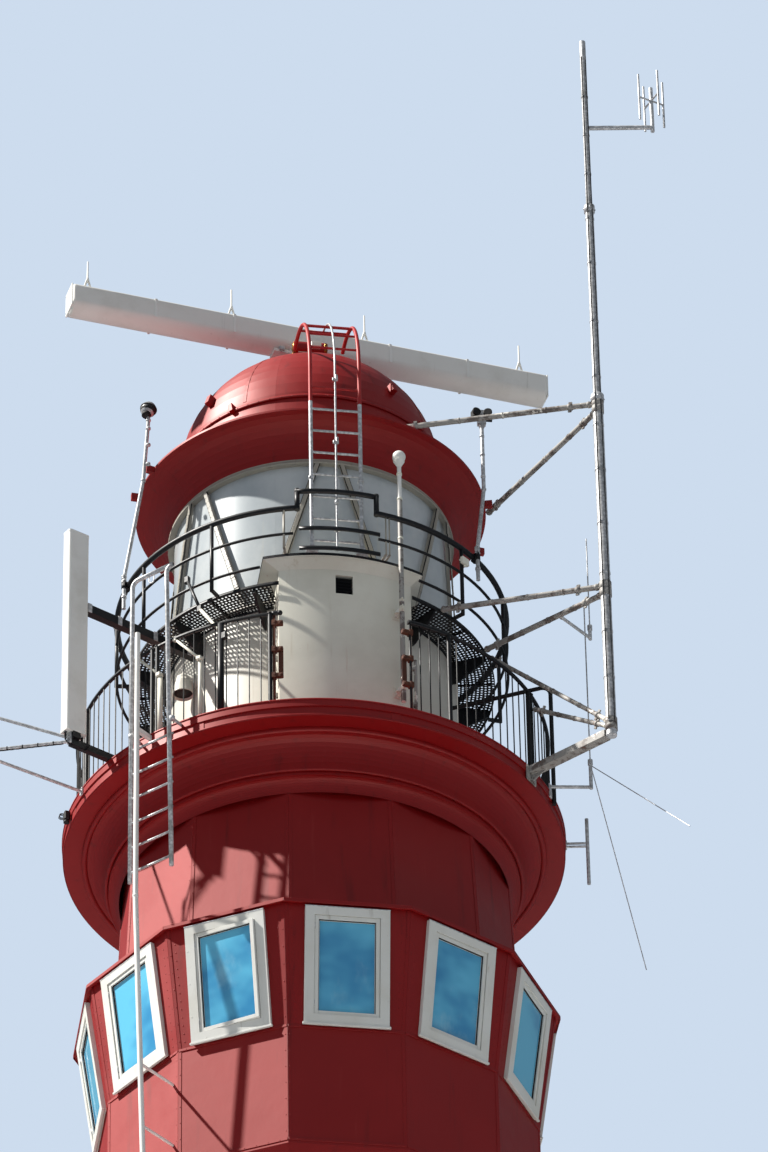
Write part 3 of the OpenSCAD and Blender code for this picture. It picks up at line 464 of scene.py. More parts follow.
def wood(name, colour, dark):
    paint = Paint(name, colour, 0.5)
    grain = paint.patches(1.0, 0.45, 0.70, dark, 0.6, stretch=drawn_out(40, 1.6), detail=6, warp=0.4)[0]
    paint.patches(12, 0.66, 0.72, srgb(140, 132, 116), 0.6, stretch=(1, 1, 0.5), **FLAKY)
    paint.relief(grain, 0.3, 0.002)
    return paint.done()


def brass():
    paint = Paint("brass", srgb(186, 138, 66), 0.32, 0.9)
    paint.patches(30, 0.45, 0.7, srgb(120, 84, 46), 0.7, detail=5)
    paint.relief(paint.noise(80, detail=3), 0.1, 0.001)
    return paint.done()


def rusty_iron():
    paint = Paint("rusty_iron", srgb(88, 48, 32), 0.8)
    paint.patches(16, 0.50, 0.68, srgb(128, 76, 46), 0.7, **FLAKY)
    paint.patches(9, 0.58, 0.68, srgb(58, 34, 26), 0.8, **FLAKY)
    paint.relief(paint.noise(60, detail=6), 0.5, 0.002)
    return paint.done()


def rubber():
    paint = Paint("rubber", srgb(24, 24, 26), 0.7)
    paint.patches(20, 0.5, 0.75, srgb(56, 54, 52), 0.6, detail=5)
    paint.relief(paint.noise(90, detail=3), 0.15, 0.001)
    return paint.done()


MATERIALS = {
    "tower_paint": masonry(),
    "floor_stone": stone(),
    "cab_paint": red_paint("cab_paint", srgb(138, 2, 6), srgb(154, 14, 18)),
    "frame_paint": white_paint("frame_paint", srgb(226, 226, 220), 0.45, srgb(150, 140, 124)),
    "window_glass": window_painted_reflection(),
    "frame_wood": wood("frame_wood", srgb(218, 216, 206), srgb(176, 170, 154)),
    "door_wood": wood("door_wood", srgb(38, 70, 54), srgb(22, 44, 34)),
    "white_paint": white_paint("white_paint", srgb(216, 213, 202), 0.5, srgb(160, 148, 122)),
    "cream_paint": white_paint("cream_paint", srgb(232, 229, 214), 0.6, srgb(172, 150, 108)),
    "black_paint": black_paint(),
    "rusty_steel": rusty_struts(),
    "lantern_glass": milky_glass(),
    "ladder_paint": red_paint("ladder_paint", srgb(160, 18, 24), srgb(180, 60, 56)),
    "galvanized": galvanized(),
    "scanner_shell": glass_fibre("scanner_shell", srgb(232, 230, 224)),
    "aerial_shell": glass_fibre("aerial_shell", srgb(236, 235, 230)),
}
GLAZING = white_paint("glazing_paint", srgb(158, 153, 142), 0.7, srgb(96, 84, 70))
BRASS = brass()
RUSTY = rusty_iron()
RUBBER = rubber()
SHARP_ANGLE = 32


def dress_nodes():
    """Gives each carried-over node its slot's material and smooth round faces."""
    for part in frame["record"]["subparts"]:
        mesh = nodes[part["node"]].data
        mesh.materials.clear()
        mesh.materials.append(GLAZING if part["node"] == "lantern_bars" else MATERIALS[part["material_slot"]])
        mesh.shade_smooth()
        mesh.set_sharp_from_angle(angle=math.radians(SHARP_ANGLE))


# Meshes

class Shape:
    """Points and faces collected from simple forms, for one piece."""

    def __init__(self):
        self.points = []
        self.faces = []
        self.smooth = []

    def add(self, points, faces, place=None, smooth=False):
        start = len(self.points)
        if place is not None:
            points = [place @ Vector(p) for p in points]
        self.points.extend(points)
        self.faces.extend([start + i for i in face] for face in faces)
        self.smooth.extend([smooth] * len(faces))

    def skin(self, rings, place=None, smooth=True, capped=True):
        """Joins rings of points one after another, with flat ends."""
        n = len(rings[0])
        faces = [[i * n + k, i * n + (k + 1) % n, (i + 1) * n + (k + 1) % n, (i + 1) * n + k]
                 for i in range(len(rings) - 1) for k in range(n)]
        self.add([p for ring in rings for p in ring], faces, place, smooth)
        if capped:
            last = len(self.points) - n
            self.cap(last - n * (len(rings) - 1), n)
            self.cap(last, n)

    def cap(self, first, count):
        """A flat face over points that follow one another."""
        self.faces.append([first + k for k in range(count)])
        self.smooth.append(False)

    def box(self, size, place, edge=0.002):
        """A box with chamfered edges, its middle at the place."""
        half = [s / 2 for s in size]
        edge = min(edge, min(half) * 0.6)
        points = []
        index = {}
        signs = [(x, y, z) for x in (-1, 1) for y in (-1, 1) for z in (-1, 1)]
        for sign in signs:
            for axis in range(3):
                index[sign, axis] = len(points)
                points.append([sign[k] * (half[k] if k == axis else half[k] - edge) for k in range(3)])
        faces = []
        for axis in range(3):
            first, second = [k for k in range(3) if k != axis]

            def corner(c, a, b):
                sign = [0, 0, 0]
                sign[axis], sign[first], sign[second] = c, a, b
                return tuple(sign)

            around = ((-1, -1), (1, -1), (1, 1), (-1, 1))
            faces.extend([index[corner(side, a, b), axis] for a, b in around] for side in (-1, 1))
            for a in (-1, 1):
                for b in (-1, 1):
                    low, high = corner(-1, a, b), corner(1, a, b)
                    bevel = ((low, first), (high, first), (high, second), (low, second))
                    faces.append([index[key] for key in bevel])
        faces.extend([index[sign, 0], index[sign, 1], index[sign, 2]] for sign in signs)
        self.add(points, faces, place)

    def lathe(self, profile, place=None, count=24, closed=False):
        """Turns a profile of (radius, level) about the place's Z axis, and closes its ends."""
        rows = []
        points = []
        for r, z in profile:
            if r == 0:
                rows.append([len(points)] * count)
                points.append((0, 0, z))
                continue
            rows.append(list(range(len(points), len(points) + count)))
            for k in range(count):
                a = 2 * math.pi * k / count
                points.append((r * math.cos(a), r * math.sin(a), z))
        pairs = list(zip(rows, rows[1:]))
        if closed:
            pairs.append((rows[-1], rows[0]))
        faces = []
        for low, high in pairs:
            for k in range(count):
                n = (k + 1) % count
                faces.append(list(dict.fromkeys([low[k], low[n], high[n], high[k]])))
        self.add(points, faces, place, True)
        if not closed:
            start = len(self.points) - len(points)
            for row in (rows[0], rows[-1]):
                if len(set(row)) > 2:
                    self.cap(start + row[0], count)

    def sleeve(self, place, inner, outer, half, edge=0.002, count=20):
        """A band around a bar: from the inner radius out to the outer one over an edge."""
        self.lathe([(inner, -half), (outer, edge - half), (outer, half - edge), (inner, half)], place, count)

    def arc(self, profile, start=0, sweep=360, count=120):
        """Turns a closed profile of (radius, level) about Z from an azimuth on, with end caps."""
        rings = [[polar(r, start + sweep * k / count, z) for r, z in profile] for k in range(count + 1)]
        self.skin(rings, capped=sweep < 360)

    def tube(self, path, r, sides=8, place=None):
        """A round bar along a path of points, with flat ends."""
        path = [Vector(p) for p in path]
        rings = []
        normal = (path[1] - path[0]).normalized().orthogonal().normalized()
        for i, p in enumerate(path):
            ahead = (path[min(i + 1, len(path) - 1)] - path[max(i - 1, 0)]).normalized()
            normal = (normal - ahead * normal.dot(ahead)).normalized()
            across = ahead.cross(normal)
            angles = [2 * math.pi * k / sides for k in range(sides)]
            rings.append([p + (normal * math.cos(a) + across * math.sin(a)) * r for a in angles])
        self.skin(rings, place)

    def post(self, foot, height, r, sides=8):
        """An upright round bar."""
        self.tube([foot, foot + rise(height)], r, sides)

    def prism(self, outline, depth, place):
        """An outline in the place's XY plane, drawn out along its Z."""
        self.skin([[(x, y, z) for x, y in outline] for z in (0, depth)], place, False)

    def rivet(self, place, r=0.009, h=0.005):
        """A low domed head on the place's +X face."""
        self.lathe([(r, 0), (r * 0.86, h * 0.6), (r * 0.45, h), (0, h * 1.08)], place @ turn(90, "Y"), 8)

    def bolt(self, place, r=0.008, h=0.008):
        """A six-sided head with a washer, on the place's +X face."""
        washer = [(r * 1.5, 0), (r * 1.5, h * 0.25), (r, h * 0.25)]
        self.lathe(washer + [(r, h * 0.9), (r * 0.8, h)], place @ turn(90, "Y"), 6)

    def bolts(self, place, x, y, z, r=0.008, h=0.008):
        """Four bolts at both sides of the middle in y and z."""
        for side in (-y, y):
            for level in (-z, z):
                self.bolt(place @ move(x, side, level), r, h)


def new_object(shape, name, material):
    """An object of the shape's mesh, in the scene."""
    mesh = bpy.data.meshes.new(name)
    mesh.from_pydata(shape.points, [], shape.faces)
    mesh.materials.append(material)
    obj = bpy.data.objects.new(name, mesh)
    bpy.context.scene.collection.objects.link(obj)
    return obj


def build(shape, name, slot=None, body="tower", replaced=(), material=None):
    """Makes the piece, rides it on a body and names its finish."""
    obj = new_object(shape, name, material or MATERIALS[slot])
    mesh = obj.data
    mesh.polygons.foreach_set("use_smooth", shape.smooth)
    work = bmesh.new()
    work.from_mesh(mesh)
    bmesh.ops.recalc_face_normals(work, faces=work.faces)
    work.to_mesh(mesh)
    work.free()
    mesh.update()
    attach(obj, body)
    if replaced:
        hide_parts(*replaced)


# Floor

FLOOR_R = 22
FLOOR_LOW = -0.08
FLOOR_TOP = -0.002


def add_floor():
    paint = Paint("floor_grey", srgb(226, 226, 224), 0.8)
    paint.patches(0.4, 0.4, 0.7, srgb(214, 214, 212), 0.6)
    shape = Shape()
    shape.lathe([(FLOOR_R, FLOOR_LOW), (FLOOR_R, FLOOR_TOP - 0.010), (FLOOR_R - 0.010, FLOOR_TOP),
                 (0.001, FLOOR_TOP), (0.001, FLOOR_LOW)], count=96)
    new_object(shape, "floor", paint.done())


# Upper walkway

HOLE_ROWS = 10
HOLE_PITCH = 0.040
HOLE_R = 0.0125
PLATE_T = 0.004
RIM_T = 0.010
BEARERS = 24


def walkway_plate():
    """The perforated ring, with its rims and bearers."""
    shape = Shape()
    inner = drum_r + 0.002
    outer = grating_r - 0.004
    middle_r = (inner + outer) / 2
    row_h = (outer - inner) / HOLE_ROWS
    columns = int(2 * math.pi * middle_r / HOLE_PITCH)
    low = grating_z - PLATE_T
    for c in range(columns):
        azimuth = 360 * c / columns
        middle = polar(middle_r, azimuth)
        if housing_low.x - 0.033 < middle.x < housing_high.x + 0.033 and middle.y < 0:
            continue
        for row in range(HOLE_ROWS):
            shift = 0.25 if row % 2 else -0.25
            perforated_cell(shape, inner + row * row_h, row_h, azimuth, 360 / columns, shift, low)
    for r in (inner, outer - RIM_T):
        left, right = housing_edge(r)
        shape.arc(band(r, r + RIM_T, grating_low_z, grating_z + 0.012), right, 360 - right + left, 150)
    for k in range(BEARERS):
        azimuth = 360 / BEARERS * k + 4
        if clear_of_housing(azimuth, inner):
            shape.box((outer - inner - 0.01, 0.008, 0.024), at(azimuth, middle_r, low - 0.013))
    build(shape, "walkway_plate", "black_paint", replaced=["walkway_grating"])


def housing_edge(r):
    """The azimuths at which a circle meets the housing's two sides."""
    return [math.degrees(math.asin(x / r)) for x in (housing_low.x - 0.004, housing_high.x + 0.004)]


def clear_of_housing(azimuth, r):
    low, high = housing_edge(r)
    a = (azimuth + 180) % 360 - 180
    return not low - 1 < a < high + 1


def perforated_cell(shape, r, row_h, azimuth, width, shift, low):
    """One cell of the plate: a square with an eight-sided hole through it."""
    half = row_h / 2
    mid_r = r + half
    hole = math.degrees(HOLE_R / mid_r)
    edge = ((-1, -1), (-1, 0), (-1, 1), (0, 1), (1, 1), (1, 0), (1, -1), (0, -1))
    points = []
    for z in (low, low + PLATE_T):
        for dr, da in edge:
            points.append(polar(mid_r + dr * half, azimuth + da * width / 2, z))
        for k in range(8):
            a = math.radians(225 - 45 * k)
            aside = math.sin(a) * hole + shift * width * 0.4
            points.append(polar(mid_r + math.cos(a) * HOLE_R, azimuth + aside, z))
    faces = []
    for k in range(8):
        n = (k + 1) % 8
        for first, second in ((0, 8), (16, 24), (8, 24)):
            faces.append([first + k, first + n, second + n, second + k])
    shape.add(points, faces)


# Windows of the cab

OPEN_SIDE = 11
OPEN_ANGLE = 4
SASH_B = 0.040
SASH_GAP = 0.006


def window_places():
    """The middle of each leaning window side, with local +X outwards and +Z up the wall."""
    lean = math.degrees(math.atan((CAB_TOP_R - SILL_R) * CORNER / WINDOW_H))
    middle_r = (CAB_TOP_R + SILL_R) / 2 * CORNER
    return [at(k * SIDE_ANGLE, middle_r, cab_top_z - WINDOW_H / 2) @ turn(lean, "Y") for k in range(SIDES)]


def rim(shape, place, width, height, border, depth, x, edge=0.003):
    """Four mitred-looking bars around an opening, in the place's YZ plane."""
    for side in (-1, 1):
        shape.box((depth, border, height), place @ move(x, side * (width - border) / 2, 0), edge)
        shape.box((depth, width - 2 * border, border), place @ move(x, 0, side * (height - border) / 2), edge)


def cab_windows():
    """Sashes, panes and gaskets in the leaning openings, with sills, drips, hinges and rivets."""
    sashes = Shape()
    panes = Shape()
    gaskets = Shape()
    fittings = Shape()
    sash_w = FRAME_W - 2 * FRAME_B - SASH_GAP
    sash_h = FRAME_H - 2 * FRAME_B - SASH_GAP
    clear_w = sash_w - 2 * SASH_B
    clear_h = sash_h - 2 * SASH_B
    for k, place in enumerate(window_places()):
        hung = place
        if k == OPEN_SIDE:
            hung = place @ move(0, -sash_w / 2, 0) @ turn(-OPEN_ANGLE) @ move(0, sash_w / 2, 0)
        rim(sashes, hung, sash_w, sash_h, SASH_B, 0.042, 0.012)
        rim(sashes, hung, clear_w, clear_h, 0.012, 0.016, -0.004)
        rim(gaskets, hung, clear_w + 0.002, clear_h + 0.002, 0.006, 0.026, 0.006, 0.001)
        pane = hung @ move(-0.002 + 0.0004 * (k % 3), 0, 0)
        panes.box((0.010, clear_w - 0.006, clear_h - 0.006), pane, 0.001)
        sill = place @ move(FRAME_PROUD - 0.006, 0, -FRAME_H / 2 - 0.010)
        drip = place @ move(FRAME_PROUD + 0.001, 0, FRAME_H / 2 - 0.004)
        sashes.box((0.030, FRAME_W + 0.030, 0.024), sill, 0.004)
        fittings.box((0.004, FRAME_W + 0.010, 0.010), drip, 0.001)
        for z in (-0.42, 0.42):
            hinge = [(0.036, -sash_w / 2 - 0.004, z + dz) for dz in (-0.035, 0.035)]
            fittings.tube(hinge, 0.008, 8, place)
        for side in (-1, 1):
            beside = [(side * (FRAME_W / 2 - 0.022), z) for z in (-0.36, 0.0, 0.36)]
            above = [(y, side * (FRAME_H / 2 - 0.022)) for y in (-0.26, 0.26)]
            for y, z in beside + above:
                sashes.rivet(place @ move(FRAME_PROUD, y, z), 0.007, 0.003)
    build(sashes, "window_sashes", "frame_paint")
    build(panes, "window_panes", "window_glass", replaced=["cab_window_glass"])
    build(gaskets, "window_gaskets", material=RUBBER)
    build(fittings, "window_fittings", "galvanized")


# Seams, strips and rivets on the red plating

BASE_SEAM_Z = cab_low_z + 0.46
STRIP_PITCH = 0.17


def corner_strip(shape, low, high, azimuth, width=0.034, proud=0.004):
    """A bent strip over a corner: two thin flats, one on each side of the edge."""
    length = (high - low).length
    up = (high - low).normalized()
    count = int(length / STRIP_PITCH)
    for side in (-1, 1):
        out = polar(1, azimuth + side * SIDE_ANGLE / 2)
        across = out.cross(up).normalized() * -side
        face = up.cross(across).normalized()
        if face.dot(out) < 0:
            face = -face
        middle = (low + high) / 2 + across * width / 2 + face * proud / 2
        shape.box((proud, width, length), facing(face, across, up, middle), 0.001)
        for i in range(count):
            spot = low.lerp(high, (i + 0.5) / count) + across * width * 0.62 + face * proud
            shape.rivet(facing(face, across, up, spot), 0.006, 0.003)


def plating():
    """Strips over the wall's corners, and riveted seams around it."""
    strips = Shape()
    walls = (
        (SILL_R, BASE_SEAM_Z, SILL_R, sill_z - 0.004),
        (SILL_R, sill_z + 0.006, CAB_TOP_R, cab_top_z - 0.006),
        (NECK_FOOT_R, neck_low_z + 0.03, NECK_TOP_R, deck_z - 0.745),
    )
    for k in range(SIDES):
        azimuth = (k + 0.5) * SIDE_ANGLE
        for r_low, z_low, r_high, z_high in walls:
            corner_strip(strips, polar(r_low, azimuth, z_low), polar(r_high, azimuth, z_high), azimuth)
    build(strips, "corner_strips", "cab_paint")

    seams = Shape()
    for z, proud in ((sill_z + 0.004, 0.008), (BASE_SEAM_Z + 0.004, 0.006)):
        width = 2 * SILL_R * HALF_SIDE
        for k in range(SIDES):
            place = at(k * SIDE_ANGLE, SILL_R * CORNER + proud, z)
            seams.box((proud, width - 0.01, 0.030), place @ move(-proud / 2, 0, 0))
            for i in range(-4, 5):
                seams.rivet(place @ move(0, i * width / 9.4, 0), 0.005, 0.003)
    top_r = CAB_TOP_R + 0.045
    for k in range(SIDES):
        place = at(k * SIDE_ANGLE, top_r * CORNER + 0.003, cab_top_z + 0.004)
        seams.box((0.006, 2 * top_r * HALF_SIDE, 0.040), place)
    build(seams, "wall_seams", "cab_paint")


def window_wall_rivets():
    """Rows of small bolt heads on the red wall beside the windows."""
    shape = Shape()
    for place in window_places():
        for side in (-1, 1):
            for i in range(14):
                z = (i - 6.5) * 0.090
                half = (SILL_R + (CAB_TOP_R - SILL_R) * (z / WINDOW_H + 0.5)) * HALF_SIDE
                shape.rivet(place @ move(0, side * (half - 0.075), z), 0.006, 0.0035)
    build(shape, "wall_rivets", "cab_paint")


def fascia():
    """The deck's edge: a capping angle, a drip bead and butt straps."""
    shape = Shape()
    cap = [(deck_r + r, deck_z + z) for r, z in (
        (-0.030, 0.001), (0.006, 0.001), (0.006, -0.016), (0.001, -0.016), (0.001, -0.004), (-0.030, -0.004))]
    bead = [(deck_r - 0.014 + 0.009 * math.cos(a), deck_z - 0.188 + 0.012 * math.sin(a))
            for a in [math.radians(30 * i) for i in range(-3, 10)]]
    for profile in (cap, bead):
        shape.arc(profile, count=180)
    for k in range(8):
        shape.box((0.005, 0.10, 0.100), at(k * 45 + 11, deck_r - 0.0125, deck_z - 0.142))
    build(shape, "deck_edging", "cab_paint")


# Drum, vents and housing

VENT_AZIMUTHS = (-62, -118, 100, 140, 180)
VENT_R = 0.074
VENT_OUT = 0.130
SHADE_DISC_Z = -0.158


def vent_cowls():
    """Cowls with an open mouth that looks down, darkened inside by a black disc as painted shade."""
    shape = Shape()
    dark = Shape()
    low, high = levels("drum_vents")
    pipe_z = high - 0.075
    drop = low - pipe_z
    flange = [(0.105, 0), (0.105, 0.008), (0.080, 0.010), (VENT_R, 0.020), (VENT_R, 0.085)]
    bend = [math.radians(15 * i) for i in range(7)]
    elbow = [(0.055 + 0.075 * math.sin(a), 0, -0.075 + 0.075 * math.cos(a)) for a in bend]
    bell = [(VENT_R, 0.0), (0.078, -0.03), (0.100, -0.10), (0.109, drop + 0.014), (0.111, drop + 0.010),
            (0.111, drop + 0.001), (0.106, drop + 0.001), (0.097, -0.10), (0.070, -0.03), (0.066, -0.01)]
    crown = [(0.001, 0.071), (0.040, 0.062), (0.066, 0.032), (0.0745, 0.0), (VENT_R, -0.01), (0.001, -0.012)]
    # A solid black disc up inside each mouth: painted shade in the cowl's hollow.
    shade_disc = band(0.001, 0.101, SHADE_DISC_Z, SHADE_DISC_Z + 0.004)
    for azimuth in VENT_AZIMUTHS:
        place = at(azimuth, drum_r + 0.0005, pipe_z)
        mouth = place @ move(VENT_OUT, 0, 0)
        shape.lathe(flange, place @ turn(90, "Y"), 28)
        shape.tube(elbow, VENT_R, 28, place)
        shape.lathe(bell, mouth, 32, closed=True)
        shape.lathe(crown, mouth, 28)
        dark.lathe(shade_disc, mouth)
        for k in range(6):
            shape.rivet(place @ turn(60 * k, "X") @ move(0.008, 0, 0.093), 0.006, 0.004)
    build(shape, "vent_cowls", "white_paint", replaced=["drum_vents"])
    # The black discs in the mouths are painted shade.
    build(dark, "vent_painted_shade", material=RUBBER)


EAVES_FRONT = 0.088
EAVES_LEFT = 0.165
EAVES_RIGHT = 0.120
FRONT_STEPS = 30
LOUVRE_Z = deck_z + 2.0075
LOUVRE_AZIMUTH = 2.6
HINGE_POSTS = ((-16.9, 1), (16.3, -1))


def housing_outline(front, left, right):
    """Left side from the drum to the front, the front arc, and the right side back, beyond the wall."""
    back = drum_r + 0.004
    r = front - housing_low.y
    x_low, x_high = housing_low.x - left, housing_high.x + right
    start, end = [Vector((x, -math.sqrt(back ** 2 - x ** 2), 0)) for x in (x_low, x_high)]
    first, last = [math.degrees(math.asin(x / r)) for x in (x_low, x_high)]
    arc = [polar(r, first + (last - first) * k / FRONT_STEPS) for k in range(FRONT_STEPS + 1)]
    return [start.lerp(arc[0], t) for t in (0, 0.5)] + arc + [arc[-1].lerp(end, t) for t in (0.5, 1)]


def housing_sheet(name, slot, rings):
    """A piece that joins outlines at their levels into a closed section along the housing."""
    n = len(rings[0][0])
    rows = len(rings)
    points = [Vector((p.x, p.y, z)) for ring, z in rings for p in ring]
    faces = [[k * n + i, k * n + i + 1, (k + 1) % rows * n + i + 1, (k + 1) % rows * n + i]
             for k in range(rows) for i in range(n - 1)]
    faces += [[k * n + end for k in range(rows)] for end in (0, n - 1)]
    shape = Shape()
    shape.add(points, faces)
    build(shape, name, slot)


def housing_details():
    """The housing's eaves and roof edge, its louvre, and the railing's hinges on both sides."""
    low_z = housing_high.z + 0.018
    top_z = housing_high.z + 0.046
    wall = housing_outline(0.0005, 0.0005, 0.0005)
    edge = housing_outline(EAVES_FRONT, EAVES_LEFT, EAVES_RIGHT)
    outer = housing_outline(EAVES_FRONT + 0.003, EAVES_LEFT + 0.003, EAVES_RIGHT + 0.003)
    inner = housing_outline(EAVES_FRONT - 0.020, EAVES_LEFT - 0.020, EAVES_RIGHT - 0.020)
    housing_sheet("housing_eaves", "cream_paint", [
        (wall, housing_high.z - 0.100), (edge, low_z), (edge, top_z - 0.001), (wall, top_z - 0.001)])
    housing_sheet("housing_roof_edge", "black_paint", [
        (edge, low_z - 0.001), (outer, low_z - 0.001), (outer, top_z + 0.003), (inner, top_z + 0.003),
        (inner, top_z - 0.0005), (edge, top_z - 0.0005)])

    louvre = Shape()
    place = at(LOUVRE_AZIMUTH, -housing_low.y - 0.022, LOUVRE_Z)
    for i in range(6):
        louvre.box((0.030, 0.176, 0.004), place @ move(-0.005, 0, -0.098 + i * 0.039) @ turn(38, "Y"), 0.001)
    louvre.box((0.004, 0.186, 0.240), place @ move(-0.030, 0, 0), 0.001)
    build(louvre, "housing_louvre", "black_paint")

    hinges = Shape()
    straps = Shape()
    r = RAIL_R - 0.012
    for azimuth, side in HINGE_POSTS:
        hinges.post(polar(r, azimuth, deck_z + 0.006), 1.174, 0.015, 10)
        for z in (0.42, 0.75, 1.08):
            place = at(azimuth + side * 0.9, r, deck_z + z)
            hinges.box((0.050, 0.110, 0.052), place, 0.006)
            hinges.box((0.064, 0.046, 0.070), at(azimuth, r, deck_z + z), 0.006)
            for dy in (-0.034, 0.034):
                hinges.bolt(place @ move(0.025, dy, 0), 0.010, 0.010)
        straps.box((0.006, 0.052, 0.34), at(azimuth + side * 1.6, RAIL_R - 0.020, deck_z + 0.58), 0.001)
    build(straps, "railing_hinge_straps", "rusty_steel", material=RUSTY)
    build(hinges, "railing_hinges", "rusty_steel", material=RUSTY)


# Lantern

BAR_PAIRS = 6
BAR_TOP = 4.6
BAR_FOOT = 24.6
BAR_STEPS = 12
LUG_AZIMUTHS = (-43, 47, 137, 227)
MERIDIANS = (53, 143, 233, 323)


def glazing_bars():
    """Flat bars that cross the glass in pairs, in short lengths that follow it, and a ring at each end."""
    shape = Shape()
    seals = Shape()
    for k in range(BAR_PAIRS):
        for side in (-1, 1):
            foot = polar(drum_r, k * 60 + side * BAR_FOOT, glass_low_z + 0.03)
            head = polar(drum_r, k * 60 + side * BAR_TOP, glass_high_z - 0.02)
            up = (head - foot).normalized()
            length = (head - foot).length / BAR_STEPS
            for i in range(BAR_STEPS):
                p = foot.lerp(head, (i + 0.5) / BAR_STEPS)
                azimuth = math.degrees(math.atan2(p.x, -p.y))
                across = up.cross(polar(1, azimuth)).normalized()
                out = across.cross(up)
                place = facing(out, across, up, polar(drum_r, azimuth, p.z) - out * 0.002)
                shape.box((0.008, 0.044, length + 0.001), place)
                seals.box((0.006, 0.060, length), place @ move(-0.006, 0, 0), 0.001)
                for y in (-0.014, 0.014):
                    for dz in (-0.04, 0.04):
                        shape.rivet(place @ move(0.004, y, dz), 0.005, 0.003)
    for z, half in ((glass_high_z - 0.040, 0.017), (glass_low_z + 0.030, 0.020)):
        shape.arc(band(drum_r + 0.0005, drum_r + 0.006, z - half, z + half))
        for i in range(90):
            shape.rivet(at(4 * i, drum_r + 0.006, z), 0.005, 0.003)
    build(shape, "glazing_bars", "cream_paint", material=GLAZING)
    build(seals, "glazing_seals", material=RUBBER)


def dome_details():
    """The dome's riveted foot ring, its lugs and four seam strips."""
    shape = Shape()
    seam_r = dome_r + 0.006
    centre = dome_low_z - 0.0003
    shape.arc([(seam_r, centre + 0.060), (seam_r + 0.008, centre + 0.064), (seam_r + 0.008, centre + 0.100),
               (seam_r - 0.010, centre + 0.104)], count=144)
    for azimuth in LUG_AZIMUTHS:
        place = at(azimuth, 0, centre) @ turn(-4.5, "Y")
        shape.box((0.055, 0.050, 0.115), place @ move(dome_r + 0.022, 0, 0) @ turn(12, "X"), 0.005)
    for k in range(72):
        shape.rivet(at(5 * k, seam_r + 0.008, centre + 0.082), 0.006, 0.004)
    arcs = [math.radians(6 + 3.6 * i) for i in range(22)]
    for meridian in MERIDIANS:
        path = [polar(math.cos(e), meridian, math.sin(e)) for e in arcs]
        for p, q in zip(path, path[1:]):
            out = ((p + q) / 2).normalized()
            up = (q - p).normalized()
            middle = (p + q) / 2 * dome_r + rise(centre) + out * 0.001
            size = (0.004, 0.040, (q - p).length * dome_r + 0.001)
            shape.box(size, facing(out, up.cross(out), up, middle), 0.001)
    build(shape, "dome_seams", "cab_paint")


# Radar scanner

SCANNER_TURN = 10
SCANNER_DEPTH = 0.300
SPIKES = (-0.47, -0.165, 0.12, 0.455)
MOTOR_Y = -0.337


def scanner_shell():
    """The long shell with rounded ends, its trim, and the feet and flange that carry it."""
    low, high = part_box("scanner_bar")
    top = (high.z - low.z) / 2
    half_length = math.hypot(high.x - low.x, high.y - low.y) / 2 - 0.020
    spin = turn(SCANNER_TURN) @ move(0, 0, low.z + top)
    outline = []
    for k in range(40):
        a = 2 * math.pi * k / 40
        y = max(-SCANNER_DEPTH / 2, min(SCANNER_DEPTH / 2, 0.191 * math.cos(a)))
        outline.append((y, top * math.sin(a)))
    taper = [(0, 0.90), (0.012, 0.985), (0.030, 1.0)]
    stations = [(x - half_length, s) for x, s in taper]
    stations += [(x * half_length / 6, 1.0) for x in range(-5, 6)]
    stations += [(half_length - x, s) for x, s in reversed(taper)]
    shape = Shape()
    shape.skin([[(x, y * s, z * s) for y, z in outline] for x, s in stations], spin)
    build(shape, "scanner_shell", "scanner_shell", "scanner", ["scanner_bar"])

    trim = Shape()
    cap_x = half_length - 0.015
    trim.tube([(-cap_x, 0, top - 0.006), (cap_x, 0, top - 0.006)], 0.024, 12, spin)
    for x in (-1.78, -0.89, 0.89, 1.78):
        trim.box((0.030, 0.304, 0.012), spin @ move(x, 0, top - 0.058), 0.003)
        for side in (-1, 1):
            trim.box((0.030, 0.006, 0.250), spin @ move(x, side * (SCANNER_DEPTH / 2 + 0.002), -0.005))
    for end in (spin @ turn(180), spin):
        trim.box((0.014, 0.250, 0.300), end @ move(half_length + 0.006, 0, 0), 0.006)
        trim.bolts(end, half_length + 0.013, 0.095, 0.115, 0.008, 0.006)
    build(trim, "scanner_trim", "aerial_shell", "scanner")

    foot = Shape()
    for x in (-0.34, 0.34):
        foot.box((0.060, 0.230, 0.050), spin @ move(x, 0, -top - 0.004), 0.005)
        for y in (-0.095, 0.095):
            foot.lathe([(0.014, 0), (0.014, 0.012), (0.010, 0.016)], spin @ move(x, y, -top - 0.045), 6)
    flange = move(0, 0, levels("scanner_hub")[0] + 0.100)
    foot.lathe([(0.178, 0), (0.186, 0.006), (0.186, 0.028), (0.176, 0.036)], flange, 48)
    for k in range(8):
        foot.bolt(flange @ turn(45 * k) @ move(0.1705, 0, 0.050), 0.012, 0.010)
    build(foot, "scanner_feet", "galvanized", "scanner")


def scanner_spike_sleeves():
    """Sleeves on the four thin rods along the top of the scanner, each on a forked foot."""
    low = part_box("scanner_spikes")[0]
    foot = levels("scanner_bar")[1] + 0.006
    length = (low.x + 0.0513) / (SPIKES[0] * math.cos(math.radians(SCANNER_TURN)))
    sleeve = [(0.0065, 0.125), (0.015, 0.128), (0.015, 0.165), (0.0105, 0.172), (0.0085, 0.400),
              (0.004, 0.404), (0.001, 0.405)]
    shape = Shape()
    for share in SPIKES:
        place = turn(SCANNER_TURN) @ move(share * length, 0, foot)
        for side in (-1, 1):
            shape.tube([(side * 0.046, 0, 0.002), (side * 0.008, 0, 0.150)], 0.009, 10, place)
        shape.lathe(sleeve, place, 14)
    build(shape, "scanner_spike_sleeves", "scanner_shell", "scanner")


